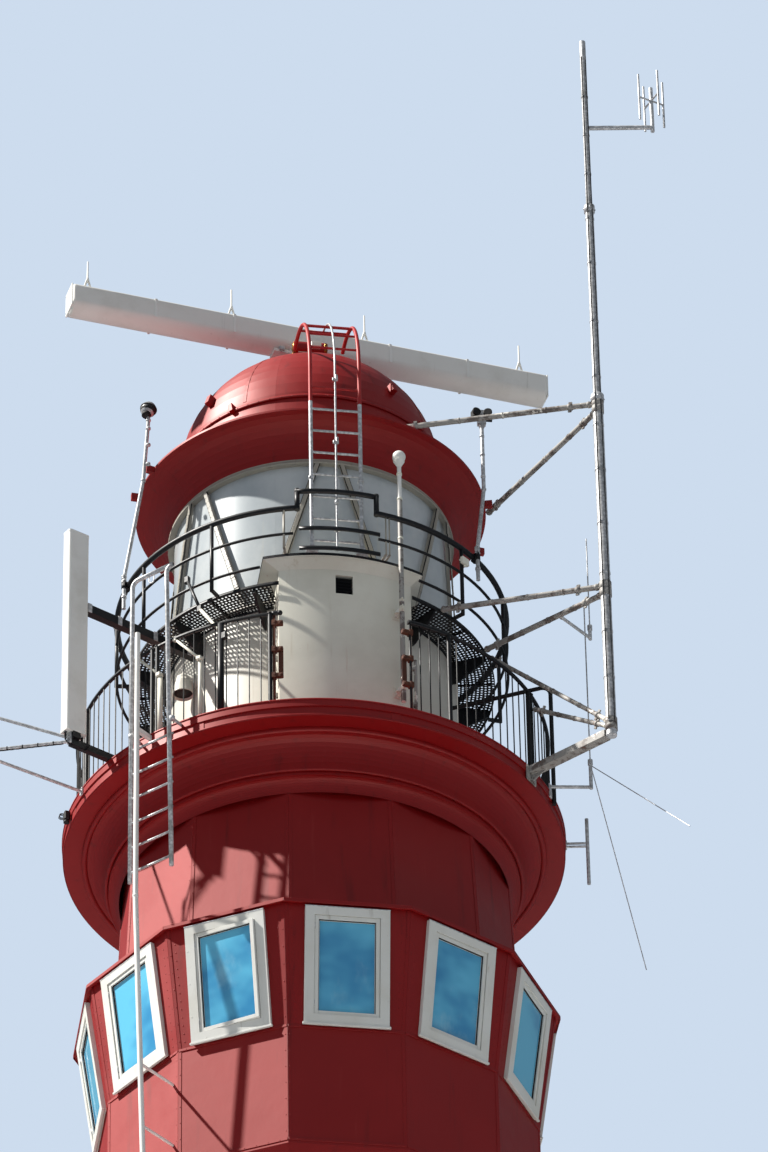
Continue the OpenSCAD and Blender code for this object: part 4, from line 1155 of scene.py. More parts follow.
def motor_details():
    """The drive motor's rings, fins and box on the pedestal, and the pedestal's bolts."""
    low, high = levels("scanner_pedestal")
    axis_z = high - 0.075
    place = move(-0.216, MOTOR_Y, axis_z) @ turn(90, "Y")
    rings = Shape()
    for x, r, t in ((0.004, 0.079, 0.022), (0.330, 0.078, 0.030)):
        rings.lathe([(r - 0.006, x), (r, x + 0.003), (r, x + t - 0.003), (r - 0.006, x + t)], place, 40)
    cover = [(0.001, -0.016), (0.030, -0.014), (0.052, -0.006), (0.058, 0.004), (0.001, 0.004)]
    rings.lathe(cover, place, 32)
    for k in range(6):
        rings.lathe([(0.008, 0), (0.008, -0.008), (0.005, -0.010)],
                    place @ Matrix.Translation(turn(60 * k) @ Vector((0.066, 0, 0.004))), 6)
    build(rings, "motor_rings", material=BRASS)
    fins = Shape()
    for a in range(0, 360, 12):
        if not 215 < a < 325:
            fins.box((0.005, 0.012, 0.270), place @ turn(a) @ move(0.078, 0, 0.185) @ turn(90), 0.001)
    fins.box((0.110, 0.070, 0.060), move(0.02, MOTOR_Y - 0.085, axis_z - 0.010), 0.006)
    build(fins, "motor_fins", "cream_paint")
    studs = Shape()
    for azimuth in range(46, 300, 36):
        studs.lathe([(0.020, 0), (0.020, 0.004), (0.014, 0.004), (0.014, 0.018), (0.008, 0.022)],
                    at(azimuth, 0.225, low + 0.030), 6)
    build(studs, "pedestal_bolts", "galvanized")


# Mast, struts and aerials

JOINTS = (deck_z + 4.300, deck_z + 6.900)
JOINT_R = (0.055, 0.044, 0.034)
BAND_LEVELS = (0.05, 0.62, 1.20, 1.95, 2.60, 3.30, 3.90, 4.55, 5.30, 6.10, 6.72, 7.35, 7.90, 8.45)
CABLE_BEARING = -30
CABLE_TOP = deck_z + 9.0


def collar(shape, p, r, length=0.05, q=None):
    """A split clamp around a bar at p, upright or towards q, with two ears and bolts."""
    place = along(p, q or p + rise(1))
    shape.sleeve(place, r + 0.001, r + 0.008, length / 2, count=16)
    for side in (-1, 1):
        shape.box((0.016, 0.034, length * 0.8), place @ move(0, side * (r + 0.018), 0), 0.003)
        shape.bolt(place @ move(0.008, side * (r + 0.024), 0), 0.007, 0.007)


def at_mast(z, r, bearing):
    return move(mast_mid.x, mast_mid.y, z) @ turn(bearing - 90) @ move(r, 0, 0)


def mast_radius(z):
    return JOINT_R[sum(z > joint for joint in JOINTS)]


def mast_details():
    """Bands and cables up the mast, and the sockets of its two joints."""
    shape = Shape()
    cable = Shape()
    bands = [deck_z + level for level in BAND_LEVELS]
    for z in bands:
        r = mast_radius(z)
        shape.sleeve(at_mast(z, 0, 90), r + 0.0005, r + 0.0045, 0.012)
        shape.box((0.018, 0.020, 0.026), at_mast(z, r + 0.012, CABLE_BEARING), 0.003)
    for z in JOINTS:
        r = mast_radius(z)
        socket = [(r + 0.0005, -0.09), (r + 0.014, -0.085), (r + 0.014, 0.0), (r - 0.004, 0.012),
                  (r - 0.004, -0.09)]
        shape.lathe(socket, at_mast(z, 0, 90), 24, closed=True)
        for k in range(4):
            shape.bolt(at_mast(z - 0.045, r + 0.014, 90 * k))
    for bearing, r in ((CABLE_BEARING, 0.0075), (22, 0.005)):
        path = [at_mast(z, mast_radius(z) + 0.010 + r, bearing).translation
                for z in [mast_low.z + 0.30] + bands + [CABLE_TOP]]
        cable.tube(path, r, 8)
    build(shape, "mast_bands", "galvanized")
    build(cable, "mast_cable", material=RUBBER)


# Levels above the deck, as in the part's source
EDGE_Z = 2.006
SKIRT_TOP = 4.772
SKIRT_FOOT = 4.324


def skirt_z(r):
    """Level of the roof skirt's top at a radius, above the deck."""
    share = (r - dome_r - 0.004) / (eave_r - dome_r - 0.004)
    return SKIRT_TOP - (SKIRT_TOP - SKIRT_FOOT) * math.sin(math.acos(1 - share))


def strut_clamps():
    """Clamps and bands on the mast's struts, each given by its foot, its level at the mast and its radius."""
    struts = (
        (polar(1.720, 26, skirt_z(1.720) + 0.041), 4.190, 0.030),
        (polar(eave_r + 0.037, 80, 4.312), 4.110, 0.030),
        (polar(grating_r + 0.037, 36.5, EDGE_Z), 1.790, 0.030),
        (polar(grating_r + 0.037, 61, EDGE_Z), 1.700, 0.030),
        (polar(grating_r + 0.031, 66, EDGE_Z), 0.060, 0.024),
        (polar(RAIL_R + 0.054, 58.5, 1.000), 0.0, 0.024),
    )
    shape = Shape()
    for foot, level, r in struts:
        foot = foot + rise(deck_z)
        head = Vector((mast_mid.x, mast_mid.y, deck_z + level))
        ahead = (head - foot).normalized()
        length = (head - foot).length
        for t in (0.16, length - 0.30):
            collar(shape, foot + ahead * t, r, q=head)
        for t in (0.30, 0.52, 0.74):
            shape.sleeve(along(foot.lerp(head, t), head), r + 0.0005, r + 0.004, 0.010, count=16)
        bearing = math.degrees(math.atan2(-ahead.x, ahead.y))
        shape.sleeve(Matrix.Translation(head), 0.0565, 0.064, 0.045, count=28)
        shape.bolts(at_mast(head.z, 0, bearing), 0.058, 0.030, 0.028)
    build(shape, "strut_clamps", "rusty_steel")


PANEL_AZIMUTH = -61
PANEL_R = 3.030
PANEL_TURN = 88
PANEL_HALF_T = 0.061
PANEL_HALF_W = 0.125
PANEL_CAP = 0.026
PANEL_BEAM_Z = deck_z + 1.800
PANEL_LEADS = ((-0.100, -0.16), (0.096, -0.13))


def panel_shell():
    """The flat aerial with rounded edges, end caps and connectors beneath."""
    low, high = levels("panel_aerial")
    outline = []
    corners = ((1, 1, 0.028, 0), (-1, 1, 0.010, 90), (-1, -1, 0.010, 180), (1, -1, 0.028, 270))
    for sx, sy, radius, first in corners:
        for a in [math.radians(first + 22.5 * k) for k in range(5)]:
            outline.append((sx * (PANEL_HALF_T - radius) + radius * math.cos(a),
                            sy * (PANEL_HALF_W - radius) + radius * math.sin(a)))
    shape = Shape()
    place = at(PANEL_AZIMUTH, PANEL_R) @ turn(PANEL_TURN)
    body = [(x * 0.97, y * 0.985) for x, y in outline]
    shape.prism(body, high - low - 0.024, place @ move(0, 0, low + 0.012))
    for z in (low, high - PANEL_CAP):
        shape.prism(outline, PANEL_CAP, place @ move(0, 0, z))
    build(shape, "panel_radome", "aerial_shell", replaced=["panel_aerial"])

    fittings = Shape()
    plugs = Shape()
    end = at(PANEL_AZIMUTH, PANEL_R - 0.16, deck_z + 0.06) @ Vector((0, 0.045, 0))
    for y, drop in PANEL_LEADS:
        spot = place @ move(0, y, low - 0.001)
        plugs.lathe([(0.016, 0), (0.016, -0.014), (0.012, -0.016), (0.012, -0.052), (0.008, -0.056),
                     (0.008, -0.10)], spot, 12)
        fittings.lathe([(0.019, 0), (0.019, -0.008), (0.014, -0.010)], spot, 6)
        start = place @ Vector((0, y, low - 0.10))
        middle = (start + end) / 2 + rise(drop)
        shares = [k / 12 for k in range(13)]
        plugs.tube([start * (1 - t) ** 2 + middle * (2 * t * (1 - t)) + end * t ** 2 for t in shares], 0.007)
    for z in (0.30, 2.40):
        fittings.box((0.030, 0.180, 0.080), place @ move(-PANEL_HALF_T - 0.014, 0, deck_z + z), 0.004)
        for y in (-0.070, 0.070):
            fittings.bolt(place @ move(-PANEL_HALF_T - 0.029, y, deck_z + z) @ turn(180), 0.010, 0.010)
    for r in (1.62, 2.05, 2.50, 2.88):
        for y in (-0.0445, 0.0445):
            fittings.box((0.050, 0.008, 0.112), at(PANEL_AZIMUTH, r, PANEL_BEAM_Z) @ move(0, y, 0))
    build(fittings, "panel_clamps", "galvanized")
    build(plugs, "panel_plugs", material=RUBBER)


CAMERA_AZIMUTH = -67.4
CAMERA_R = eave_r + 0.113
CAMERA_KNEE = 4.127
CAMERA_TOP = 4.866
LAMP_AZIMUTH = 58.8
LAMP_R = eave_r + 0.123
LAMP_KNEE = 4.060
LAMP_TOP = 4.900
POLE_CLAMP_Z = deck_z + 2.85
POLE_R = 0.021


def pole_heads():
    """Camera and lamp heads, and the clamps of their poles."""
    metal = Shape()
    black = Shape()
    for azimuth in (-77, 48):
        foot = polar(HANDRAIL_R + 0.0435, azimuth, POLE_CLAMP_Z)
        collar(black, foot, POLE_R, 0.07)
        for dz in (-0.035, 0.035):
            black.box((0.070, 0.070, 0.012), at(azimuth, HANDRAIL_R + 0.010, POLE_CLAMP_Z + dz), 0.003)
        for dz in (-0.15, 0.05, 0.12):
            collar(metal, foot + rise(dz), POLE_R, 0.03)
    for azimuth, r, knee, top in ((CAMERA_AZIMUTH, CAMERA_R, CAMERA_KNEE, CAMERA_TOP),
                                  (LAMP_AZIMUTH, LAMP_R, LAMP_KNEE, LAMP_TOP)):
        for t in (0.20, 0.55, 0.85):
            place = standing(azimuth, r, deck_z + knee + (top - knee) * t)
            metal.sleeve(place, POLE_R + 0.0005, POLE_R + 0.005, 0.012, count=16)
    build(metal, "pole_clamps", "galvanized")
    build(black, "handrail_clamps", "black_paint")

    eye = Shape()
    place = at(CAMERA_AZIMUTH, CAMERA_R, deck_z + CAMERA_TOP + 0.150) @ turn(-16, "Y")
    ball = [(0.001, 0.083), (0.030, 0.079), (0.058, 0.064), (0.078, 0.036), (0.0865, 0.0), (0.080, -0.036),
            (0.060, -0.060), (0.044, -0.070), (0.001, -0.072)]
    brim = [(0.088, -0.006), (0.092, -0.002), (0.092, 0.012), (0.088, 0.016)]
    socket = [(0.050, -0.070), (0.050, -0.104), (0.030, -0.112)]
    for profile, count in ((ball, 36), (brim, 36), (socket, 24)):
        eye.lathe(profile, place, count)
    build(eye, "camera_housing", material=RUBBER)

    lamps = Shape()
    lamp = standing(LAMP_AZIMUTH, LAMP_R, deck_z + LAMP_TOP)
    for side in (-1, 1):
        place = lamp @ move(side * 0.075, 0, 0.165) @ turn(-14 * side)
        lamps.box((0.062, 0.085, 0.110), place, 0.012)
        lamps.lathe([(0.040, 0), (0.048, 0.018), (0.048, 0.030), (0.040, 0.034)],
                    place @ move(0, -0.040, 0) @ turn(90, "X"), 20)
    lamps.box((0.230, 0.030, 0.026), lamp @ move(0, 0, 0.100), 0.004)
    build(lamps, "lamp_heads", material=RUBBER)


RADOME_AZIMUTH = 20
RADOME_R = -housing_low.y + 0.120
RADOME_FOOT_Z = deck_z + 0.560
RADOME_POLE_R = 0.022


def radome_details():
    """Clamps, brackets and the outer tube of the thin pole before the housing."""
    shape = Shape()
    for z in (RADOME_FOOT_Z + 0.18, RADOME_FOOT_Z + 1.18):
        p = polar(RADOME_R, RADOME_AZIMUTH, z)
        collar(shape, p, RADOME_POLE_R, 0.075)
        collar(shape, p + rise(0.11), RADOME_POLE_R, 0.03)
        plate = at(RADOME_AZIMUTH, RADOME_R - 0.114, z)
        shape.box((0.080, 0.014, 0.100), plate @ move(0.044, 0, 0), 0.004)
        shape.box((0.010, 0.110, 0.130), plate, 0.003)
        shape.box((0.075, 0.100, 0.010), plate @ move(0.054, 0, -0.02) @ turn(24, "Y"))
        shape.bolts(plate, 0.005, 0.038, 0.045, 0.007, 0.007)
    for z in (2.10, 2.62, 2.95):
        place = standing(RADOME_AZIMUTH, RADOME_R, RADOME_FOOT_Z + z)
        shape.sleeve(place, RADOME_POLE_R + 0.0005, RADOME_POLE_R + 0.007, 0.014, 0.003)
    build(shape, "radome_clamps", "cream_paint")
    tube = Shape()
    tube.lathe([(0.0232, 0.004), (0.0262, 0.010), (0.0262, 2.600), (0.0232, 2.606)],
               at(RADOME_AZIMUTH, RADOME_R, RADOME_FOOT_Z), closed=True)
    build(tube, "radome_pole_tube", "rusty_steel")


# Railings and ladders

RAIL_GAP_FROM = -17
RAIL_GAP_TO = 26
BAYS = 10
POST_R = 0.0235
RAIL_TOP = deck_z + 1.205
END_BAY_FROM = 15.6
JUNCTION_AZIMUTH = 41.9


def railing_fittings():
    """Base plates, collars and ball caps on the gallery's posts."""
    shape = Shape()
    sweep = (360 - (RAIL_GAP_TO - RAIL_GAP_FROM)) / BAYS
    foot = [(POST_R, 0), (0.038, 0.001), (0.038, 0.007), (0.030, 0.016), (POST_R, 0.018)]
    cap = [(POST_R, 1.196), (0.030, 1.199), (0.031, 1.206), (0.024, 1.214), (0.001, 1.217)]
    ring = [(POST_R, 0.078), (0.029, 0.080), (0.029, 0.104), (POST_R, 0.106)]
    for k in range(BAYS):
        start = RAIL_GAP_TO + k * sweep
        for azimuth in (start + 0.8, start + sweep - 0.8):
            for profile in (foot, cap, ring):
                shape.lathe(profile, at(azimuth, RAIL_R, deck_z + 0.001), 16)
    build(shape, "railing_fittings", "black_paint")


def end_bay():
    """The short bay between the housing's hinges and the first post on the right, and a junction box."""
    shape = Shape()
    bay = RAIL_GAP_TO - END_BAY_FROM + 0.6
    for half_w, half_h, z, start, sweep, count in (
        (0.021, 0.018, RAIL_TOP, END_BAY_FROM, bay, 12),
        (0.020, 0.006, deck_z + 0.090, END_BAY_FROM, bay, 12),
        (0.019, 0.017, RAIL_TOP, RAIL_GAP_FROM - 0.3, 1.9, 4),
    ):
        shape.arc(band(RAIL_R - half_w, RAIL_R + half_w, z - half_h, z + half_h), start, sweep, count)
    ball = [(0.004, -0.026), (0.022, -0.018), (0.028, 0.0), (0.022, 0.018), (0.004, 0.026)]
    shape.lathe(ball, at(-15.4, RAIL_R, RAIL_TOP), 16)
    for k in range(4):
        foot = polar(RAIL_R, END_BAY_FROM + 0.5 + k * 2.6, deck_z + 0.085)
        shape.post(foot, 1.115, 0.007 if k else 0.012)
    build(shape, "railing_end_bay", "black_paint")
    junction = Shape()
    spot = at(JUNCTION_AZIMUTH, HANDRAIL_R + 0.038, deck_z + 2.663)
    junction.box((0.040, 0.110, 0.090), spot, 0.008)
    junction.box((0.008, 0.130, 0.020), spot @ move(-0.022, 0, 0))
    junction.lathe([(0.010, 0), (0.014, 0.004), (0.014, 0.022), (0.006, 0.026)],
                   spot @ move(0, 0, -0.046) @ turn(180, "X"), 12)
    build(junction, "junction_box", "cream_paint")


STEP_LEFT = -11.7
STEP_RIGHT = 11.5
HANDRAIL_TOP = deck_z + 2.850
STEP_TOP = deck_z + 3.065
ROUND_RAILS = (
    (HANDRAIL_TOP, 0.031, STEP_RIGHT - 0.6, 360 + STEP_LEFT + 0.6),
    (STEP_TOP, 0.029, STEP_LEFT - 0.6, STEP_RIGHT + 0.6),
    (deck_z + 2.520, 0.016, 12.0, 347.1),
    (deck_z + 2.130, 0.016, 24.9, 337.3),
)
STEP_RAILS = (deck_z + 2.590, deck_z + 2.333)
HANDRAIL_SPANS = 12
HANDRAIL_FOOT = deck_z + 1.980
HANDRAIL_POST_R = 0.021
THIN_POST_FOOT = deck_z + 2.3375


def handrail():
    """The upper walkway's handrail, stepped up over the roof ladder."""
    shape = Shape()
    for z, half, start, end in ROUND_RAILS:
        angles = [math.radians(36 * k) for k in range(10)]
        profile = [(HANDRAIL_R + half * math.cos(a), z + half * math.sin(a)) for a in angles]
        shape.arc(profile, start, end - start, max(6, round((end - start) / 3)))
    for azimuth in (STEP_LEFT, STEP_RIGHT):
        foot = polar(HANDRAIL_R, azimuth, HANDRAIL_TOP - 0.030)
        shape.post(foot, STEP_TOP - HANDRAIL_TOP + 0.058, 0.028, 12)
    for z in STEP_RAILS:
        shape.arc(band(HANDRAIL_R - 0.020, HANDRAIL_R - 0.002, z - 0.021, z + 0.021), -11.2, 23.8, 10)
    sweep = (360 - 23.3) / HANDRAIL_SPANS
    for k in range(1, HANDRAIL_SPANS):
        azimuth = 13.6 + k * sweep
        foot = polar(HANDRAIL_R, azimuth, HANDRAIL_FOOT)
        shape.post(foot, HANDRAIL_TOP - HANDRAIL_FOOT, HANDRAIL_POST_R, 12)
        shape.box((0.150, 0.030, 0.040), at(azimuth, HANDRAIL_R - 0.060, HANDRAIL_FOOT + 0.014), 0.004)
    build(shape, "handrail", "black_paint", replaced=["upper_handrail"])
    thin = Shape()
    for azimuth, r in ((-15.6, 0.014), (14.3, 0.008), (15.4, 0.008)):
        thin.post(polar(HANDRAIL_R, azimuth, THIN_POST_FOOT), HANDRAIL_TOP - THIN_POST_FOOT, r, 10)
        thin.box((0.130, 0.026, 0.012), at(azimuth, HANDRAIL_R - 0.060, THIN_POST_FOOT + 0.006))
    build(thin, "handrail_thin_posts", "cream_paint", material=GLAZING)


ROOF_LADDER_Y = -1.965
ARREST_Y = ROOF_LADDER_Y - 0.0243


def roof_ladder_fittings():
    """Clamps and the runner on the arrest rail, and the stiles' clamps."""
    shape = Shape()
    for z in (2.62, 3.78, 4.62):
        shape.box((0.060, 0.030, 0.034), move(0, ARREST_Y - 0.001, deck_z + z), 0.004)
        shape.box((0.026, 0.050, 0.060), move(0.012, ARREST_Y - 0.006, deck_z + z + 0.02), 0.004)
    runner = [(0.010, 0), (0.022, 0.006), (0.024, 0.03), (0.016, 0.05), (0.006, 0.06)]
    shape.lathe(runner, move(0, ARREST_Y - 0.014, deck_z + 2.95), 16)
    for x in (-0.26, 0.26):
        for z in (2.40, 3.30):
            shape.box((0.060, 0.060, 0.026), move(x, ROOF_LADDER_Y, deck_z + z), 0.005)
    build(shape, "ladder_fittings", "galvanized")


STUB_H = 0.82
STAY_POSTS = ((-30, 0.034, 1.18), (-35.5, 0.020, STUB_H), (-47, 0.026, STUB_H))
SHORT_BRACES = ((-42.6, -35.5), (-54.4, -47))


def stay_rods():
    """A thin stay from the handrail to a thick post, and two short braces from the top rail."""
    shape = Shape()
    dark = Shape()
    upper = polar(2.085, -45.8, deck_z + 2.235)
    knuckle = polar(2.200, -39.2, deck_z + 1.680)
    lower = polar(RAIL_R + 0.030, -28.8, deck_z + 1.004)
    dark.tube([upper, knuckle], 0.018)
    shape.tube([knuckle, lower], 0.018)
    for p in (upper, knuckle, lower):
        dark.box((0.055, 0.050, 0.080), Matrix.Translation(p) @ turn(-40), 0.006)
    for azimuth, r, height in STAY_POSTS:
        piece = shape if height == STUB_H else dark
        piece.post(polar(RAIL_R, azimuth, deck_z + 0.006), height - 0.006, r, 14)
        foot = [(r + 0.002, 0.003), (r + 0.026, 0.004), (r + 0.026, 0.012), (r + 0.002, 0.014)]
        piece.lathe(foot, standing(azimuth, RAIL_R, deck_z), 20)
    for start, end in SHORT_BRACES:
        high = polar(RAIL_R - 0.005, start, deck_z + 1.195)
        low = polar(RAIL_R + 0.012, end, deck_z + STUB_H)
        shape.tube([high, low], 0.015)
        shape.box((0.044, 0.044, 0.050), Matrix.Translation(high) @ turn(start), 0.005)
        shape.box((0.056, 0.064, 0.045), Matrix.Translation(low) @ turn(end), 0.006)
    build(shape, "stay_rods", "cream_paint")
    build(dark, "stay_joints", "black_paint")


# Masonry shaft and ground door

SHAFT_FOOT_R = 3.600
SHAFT_TOP_R = 1.990
BRICK_L = 0.230
COURSE = 0.075
JOINT = 0.0035
BRICK_PROUD = 0.006
BRICK_BEVEL = 0.005
SHORTEST_BRICK = 0.04
BRICK_SEED = 11
UPRIGHT_H = 0.220
SLIT_W = 0.560
SLIT_H = 0.950
SLIT_SIDES = (0, 180, 0)
DOOR_W = 1.000
DOOR_FACE = -3.351
TIERS = ("shaft_base", "shaft_lower", "shaft_middle", "shaft_upper", "shaft_top")


def shaft_radius(z):
    return SHAFT_FOOT_R + (SHAFT_TOP_R - SHAFT_FOOT_R) * z / shaft_top_z


def gaps_in_course(z, height):
    """The door's and windows' spans in a course, as azimuth and half width in metres."""
    gaps = []
    if z < door_head_z:
        gaps.append((0, DOOR_W / 2))
    for side, level in zip(SLIT_SIDES, slit_levels):
        if abs(z + height / 2 - level) < SLIT_H / 2 + height / 2:
            gaps.append((side, SLIT_W / 2))
    return gaps


def free_spans(start, end, gaps, r):
    """What is left of a brick, in degrees, beside the gaps."""
    spans = [(start, end)]
    for side, half in gaps:
        half_deg = math.degrees(math.asin(half / r))
        for shift in (-360, 0, 360):
            low, high = side - half_deg + shift, side + half_deg + shift
            kept = []
            for a, b in spans:
                if b <= low or a >= high:
                    kept.append((a, b))
                    continue
                if a < low:
                    kept.append((a, low))
                if b > high:
                    kept.append((high, b))
            spans = kept
    return [(a, b) for a, b in spans if math.radians(b - a) * r > SHORTEST_BRICK]


def brick(shape, r_low, r_high, z, height, start, end, proud):
    """One brick: a rim in the wall's face and a raised face within it."""
    points = []
    for inset, out in ((JOINT, -0.004), (JOINT + BRICK_BEVEL, proud)):
        a, b = start + math.degrees(inset / r_low), end - math.degrees(inset / r_low)
        foot, head = z + inset, z + height - inset
        for azimuth, level, r in ((a, foot, r_low), (b, foot, r_low), (b, head, r_high), (a, head, r_high)):
            points.append(polar(r + out, azimuth, level))
    shape.add(points, [[4, 5, 6, 7], [0, 1, 5, 4], [1, 2, 6, 5], [2, 3, 7, 6], [3, 0, 4, 7]])


def brickwork():
    """Raised bricks with sunk joints over each tier of the shaft."""
    chance = random.Random(BRICK_SEED)
    for node in TIERS:
        low, high = levels(node)
        if node == "shaft_base":
            low = levels("plinth")[1]
        rows = round((high - low) / COURSE)
        height = (high - low) / rows
        shape = Shape()
        for row in range(rows):
            z = low + row * height
            r_low, r_high = shaft_radius(z), shaft_radius(z + height)
            count = round(2 * math.pi * r_low / BRICK_L)
            step = 360 / count
            gaps = gaps_in_course(z, height)
            for k in range(count):
                start = (k + 0.5 * (row % 2)) * step - 180
                for a, b in free_spans(start, start + step, gaps, r_low):
                    brick(shape, r_low, r_high, z, height, a, b, BRICK_PROUD + chance.uniform(-0.0015, 0.002))
        build(shape, node + "_bricks", "tower_paint")


def soldier_course(shape, azimuth, z, width):
    """A row of upright bricks over an opening."""
    r = shaft_radius(z)
    count = round((width + 0.24) / COURSE)
    middle_z = z + UPRIGHT_H / 2
    for k in range(count):
        a = azimuth + math.degrees((k + 0.5 - count / 2) * COURSE / r)
        shape.box((0.060, 0.067, UPRIGHT_H), at(a, shaft_radius(middle_z) - 0.018, middle_z), 0.004)


def shaft_openings():
    """Sills, upright bricks and window bars."""
    bricks = Shape()
    bars = Shape()
    sills = Shape()
    soldier_course(bricks, 0, door_head_z + 0.004, DOOR_W)
    for side, level in zip(SLIT_SIDES, slit_levels):
        soldier_course(bricks, side, level + SLIT_H / 2 + 0.004, SLIT_W)
        foot = level - SLIT_H / 2
        sill = at(side, shaft_radius(foot) - 0.055, foot - 0.034) @ turn(5, "Y")
        sills.box((0.230, SLIT_W + 0.160, 0.070), sill, 0.008)
        pane = at(side, shaft_radius(level) - 0.198, level)
        tall, wide = SLIT_H - 0.118, SLIT_W - 0.118
        bars.box((0.030, 0.032, tall), pane, 0.005)
        for dz in (-0.140, 0.140):
            bars.box((0.026, wide, 0.026), pane @ move(0, 0, dz), 0.004)
        for s in (-1, 1):
            bars.box((0.014, 0.016, tall), pane @ move(0.020, s * (SLIT_W / 2 - 0.067), 0), 0.003)
            bars.box((0.014, wide, 0.016), pane @ move(0.020, 0, s * (SLIT_H / 2 - 0.067)), 0.003)
    build(bricks, "upright_bricks", "tower_paint")
    build(bars, "shaft_window_bars", "frame_paint")
    build(sills, "window_sills", "frame_paint")


LEAF_HALF_W = 0.406
BOARDS = 7
HINGE_X = -0.460
LOCK_X = 0.345
RING_R = 0.045


def ground_door():
    """Boards, ledges, strap hinges and a ring handle in place of the plain leaf."""
    floor = levels("ground_floor")[1]
    foot = floor + 0.004
    top = door_head_z - 0.094
    middle = (foot + top) / 2
    pitch = 2 * LEAF_HALF_W / BOARDS
    boards = Shape()
    for k in range(BOARDS):
        x = -LEAF_HALF_W + (k + 0.5) * pitch
        boards.box((pitch - 0.002, 0.046, top - foot), move(x, DOOR_FACE + 0.024, middle), 0.006)
    for z in (foot + 0.23, middle, top - 0.23):
        boards.box((2 * LEAF_HALF_W - 0.05, 0.026, 0.150), move(0, DOOR_FACE + 0.058, z), 0.004)
    build(boards, "door_boards", "door_wood", replaced=["door_leaf"])

    iron = Shape()
    below = [(HINGE_X, -0.030), (-0.040, -0.022), (0.090, -0.016), (0.125, -0.028)]
    strap = below + [(0.150, 0.0)] + [(x, -y) for x, y in reversed(below)]

    def on_face(x, out, z):
        """A place on the door's face with local +Z outwards."""
        return move(x, DOOR_FACE - out, z) @ turn(90, "X")

    for z in (foot + 0.230, top - 0.230):
        iron.prism(strap, 0.007, on_face(0, 0.0005, z))
        iron.sleeve(move(HINGE_X, DOOR_FACE - 0.006, z), 0.016, 0.018, 0.045, 0.005, 16)
        for x in (-0.38, -0.24, -0.10, 0.04):
            iron.lathe([(0.014, 0), (0.011, 0.006), (0.001, 0.009)], on_face(x, 0.007, z), 12)
    plate_z = foot + 1.02
    iron.box((0.060, 0.006, 0.220), move(LOCK_X, DOOR_FACE - 0.003, plate_z))
    angles = [math.radians(15 * k) for k in range(25)]
    iron.tube([(LOCK_X + RING_R * math.sin(a), DOOR_FACE - 0.020, plate_z + 0.015 - RING_R * math.cos(a))
               for a in angles], 0.007)
    iron.lathe([(0.018, 0), (0.018, 0.018), (0.010, 0.028)], on_face(LOCK_X, 0.004, plate_z + 0.060), 16)
    iron.lathe([(0.012, 0), (0.012, 0.004), (0.001, 0.004)], on_face(LOCK_X, 0.005, plate_z - 0.075), 16)
    build(iron, "door_ironwork", "black_paint")

    trim = Shape()
    jamb_h = top - floor + 0.09
    for x in (-0.478, 0.478):
        trim.box((0.020, 0.024, jamb_h), move(x, DOOR_FACE - 0.010, floor + jamb_h / 2), 0.005)
    trim.box((0.976, 0.024, 0.020), move(0, DOOR_FACE - 0.010, top + 0.072), 0.005)
    trim.box((0.900, 0.110, 0.022), move(0, DOOR_FACE - 0.030, floor + 0.012), 0.006)
    build(trim, "door_trim", "frame_wood")


# Side ladder and small fittings on the left

LADDER_AZIMUTH = -44.2
LADDER_R = deck_r + 0.140
LADDER_HALF_W = 0.260
LADDER_BEND = 0.080
STILE_R = 0.024
RUNG_PITCH = 0.300


def side_ladder():
    """One bent tube for both stiles and the top, with rungs, deck brackets and a hook."""
    shape = Shape()
    foot, high = levels("side_ladder")
    top = high - STILE_R
    bend_y, bend_z = LADDER_HALF_W - LADDER_BEND, top - LADDER_BEND
    angles = [math.radians(15 * k) for k in range(7)]
    bends = [(LADDER_BEND * math.cos(a), LADDER_BEND * math.sin(a)) for a in angles]
    path = [(0, -LADDER_HALF_W, foot)]
    path += [(0, -bend_y - c, bend_z + s) for c, s in bends]
    path += [(0, LADDER_HALF_W - s, bend_z + c) for c, s in bends]
    path.append((0, LADDER_HALF_W, foot))
    place = at(LADDER_AZIMUTH, LADDER_R)
    shape.tube(path, STILE_R, 16, place)
    for i in range(6):
        z = foot + 0.120 + RUNG_PITCH * i
        shape.tube([(0, -LADDER_HALF_W - 0.020, z), (0, LADDER_HALF_W + 0.012, z)], 0.0125, 10, place)
        for s in (-1, 1):
            shape.lathe([(0.013, -0.002), (0.018, 0.0), (0.018, 0.003), (0.013, 0.007)],
                        place @ move(0, s * (LADDER_HALF_W - 0.026), z) @ turn(90 * s, "X"), 12)
    bracket = LADDER_R - math.sqrt((deck_r + 0.001) ** 2 - LADDER_HALF_W ** 2)
    for y in (-LADDER_HALF_W, LADDER_HALF_W):
        shape.lathe([(0.024, 0.003), (0.019, -0.003), (0.001, -0.004)], place @ move(0, y, foot), 16)
        clamp = place @ move(0, y, deck_z - 0.055)
        shape.box((bracket, 0.014, 0.040), clamp @ move(-bracket / 2, 0, 0), 0.003)
        shape.sleeve(clamp, STILE_R + 0.0005, 0.030, 0.022)
    build(shape, "side_ladder_tube", "galvanized", replaced=["side_ladder"])

    hook = Shape()
    path = [(0, -0.045, top - 0.010), (0, -0.045, top - 0.085)]
    path += [(0, -0.013 - 0.032 * math.cos(a), top - 0.085 - 0.032 * math.sin(a))
             for a in [math.radians(15 * k) for k in range(1, 12)]]
    path += [(0, 0.019, top - 0.085), (0, 0.019, top - 0.035)]
    hook.tube(path, 0.006, 8, place)
    build(hook, "ladder_hook", "galvanized")


MOUNT_AZIMUTH = -70
MOUNT_R = deck_r + 1.180
MOUNT_BAR_Z = deck_z - 0.005


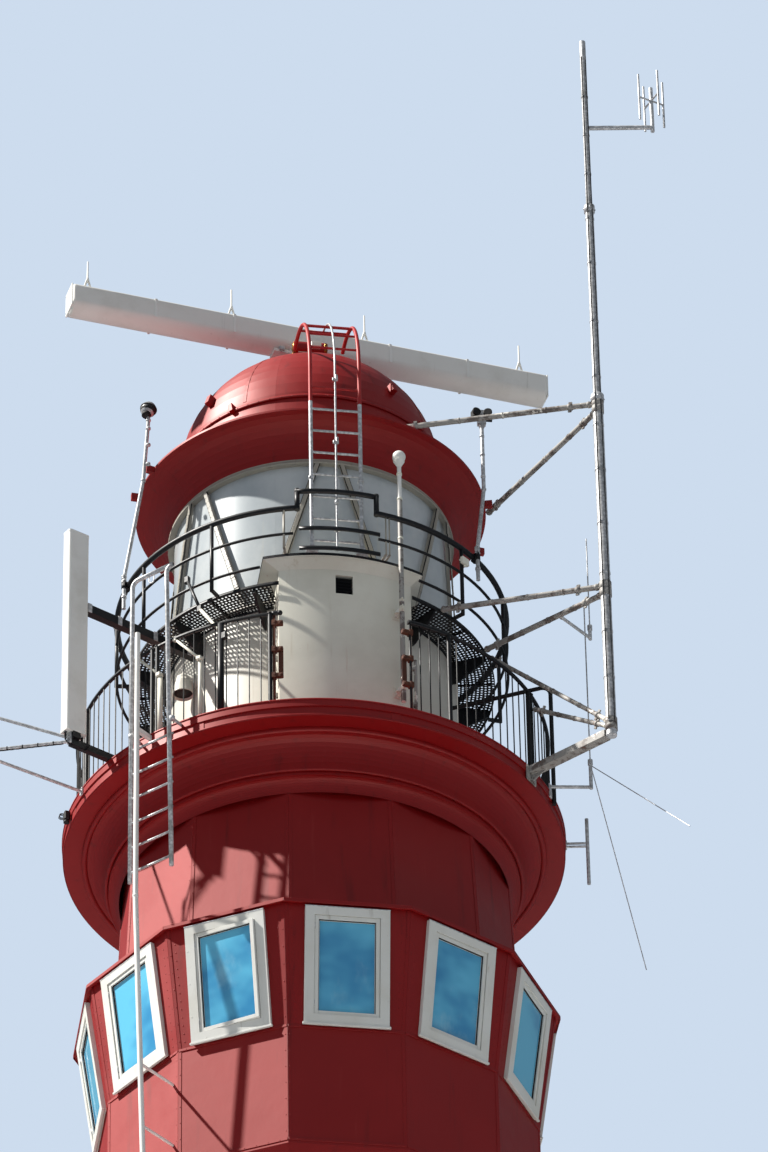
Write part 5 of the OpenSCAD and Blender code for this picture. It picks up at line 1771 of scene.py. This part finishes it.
def left_fittings():
    """A small lamp on the deck's edge with its coiled lead, and clamps and ties on the side mount."""
    shape = Shape()
    spot = at(-82, deck_r + 0.032, deck_z - 0.085)
    shape.box((0.058, 0.075, 0.110), spot, 0.010)
    shape.lathe([(0.026, 0), (0.032, 0.010), (0.032, 0.026), (0.026, 0.030)],
                spot @ move(0, 0, -0.055) @ turn(180, "X"), 20)
    coil = []
    for k in range(60):
        t = k / 59
        a = 2 * math.pi * 3 * t
        coil.append((0.030 + 0.028 * math.cos(a), -0.060 - 0.050 * t, 0.050 + 0.024 * math.sin(a)))
    shape.tube(coil, 0.004, 6, spot)
    root = polar(PANEL_R + PANEL_HALF_T, PANEL_AZIMUTH, deck_z + 0.037)
    tip = polar(MOUNT_R, MOUNT_AZIMUTH, MOUNT_BAR_Z)
    for t in (0.18, 0.36, 0.54, 0.72):
        shape.sleeve(along(root.lerp(tip, t), tip), 0.0172, 0.0205, 0.006, 0.001, 16)
    cable = []
    for k in range(25):
        sag = -0.023 - 0.004 * math.sin(k * 1.3) ** 2
        cable.append(root.lerp(tip, 0.06 + 0.80 * k / 24) + rise(sag))
    shape.tube(cable, 0.005, 6)
    build(shape, "edge_lamp", material=RUBBER)

    clamps = Shape()
    for z in (deck_z - 0.060, MOUNT_BAR_Z, deck_z + 0.460):
        clamps.sleeve(standing(MOUNT_AZIMUTH, MOUNT_R, z), 0.0245, 0.031, 0.026)
    foot = standing(MOUNT_AZIMUTH, MOUNT_R, levels("side_mount")[0] + 0.002)
    clamps.lathe([(0.0245, 0.0), (0.027, 0.004), (0.027, 0.03), (0.0245, 0.032)], foot, 20)
    clamps.bolts(at(-73, deck_r + 0.014, deck_z - 0.045), 0, 0.020, 0.030)
    build(clamps, "side_mount_clamps", "galvanized")


add_camera()
add_lights()
dress_nodes()
add_floor()
walkway_plate()
cab_windows()
plating()
window_wall_rivets()
fascia()
vent_cowls()
housing_details()
glazing_bars()
dome_details()
scanner_shell()
scanner_spike_sleeves()
motor_details()
mast_details()
strut_clamps()
panel_shell()
pole_heads()
radome_details()
railing_fittings()
end_bay()
handrail()
roof_ladder_fittings()
stay_rods()
brickwork()
shaft_openings()
ground_door()
side_ladder()
left_fittings()
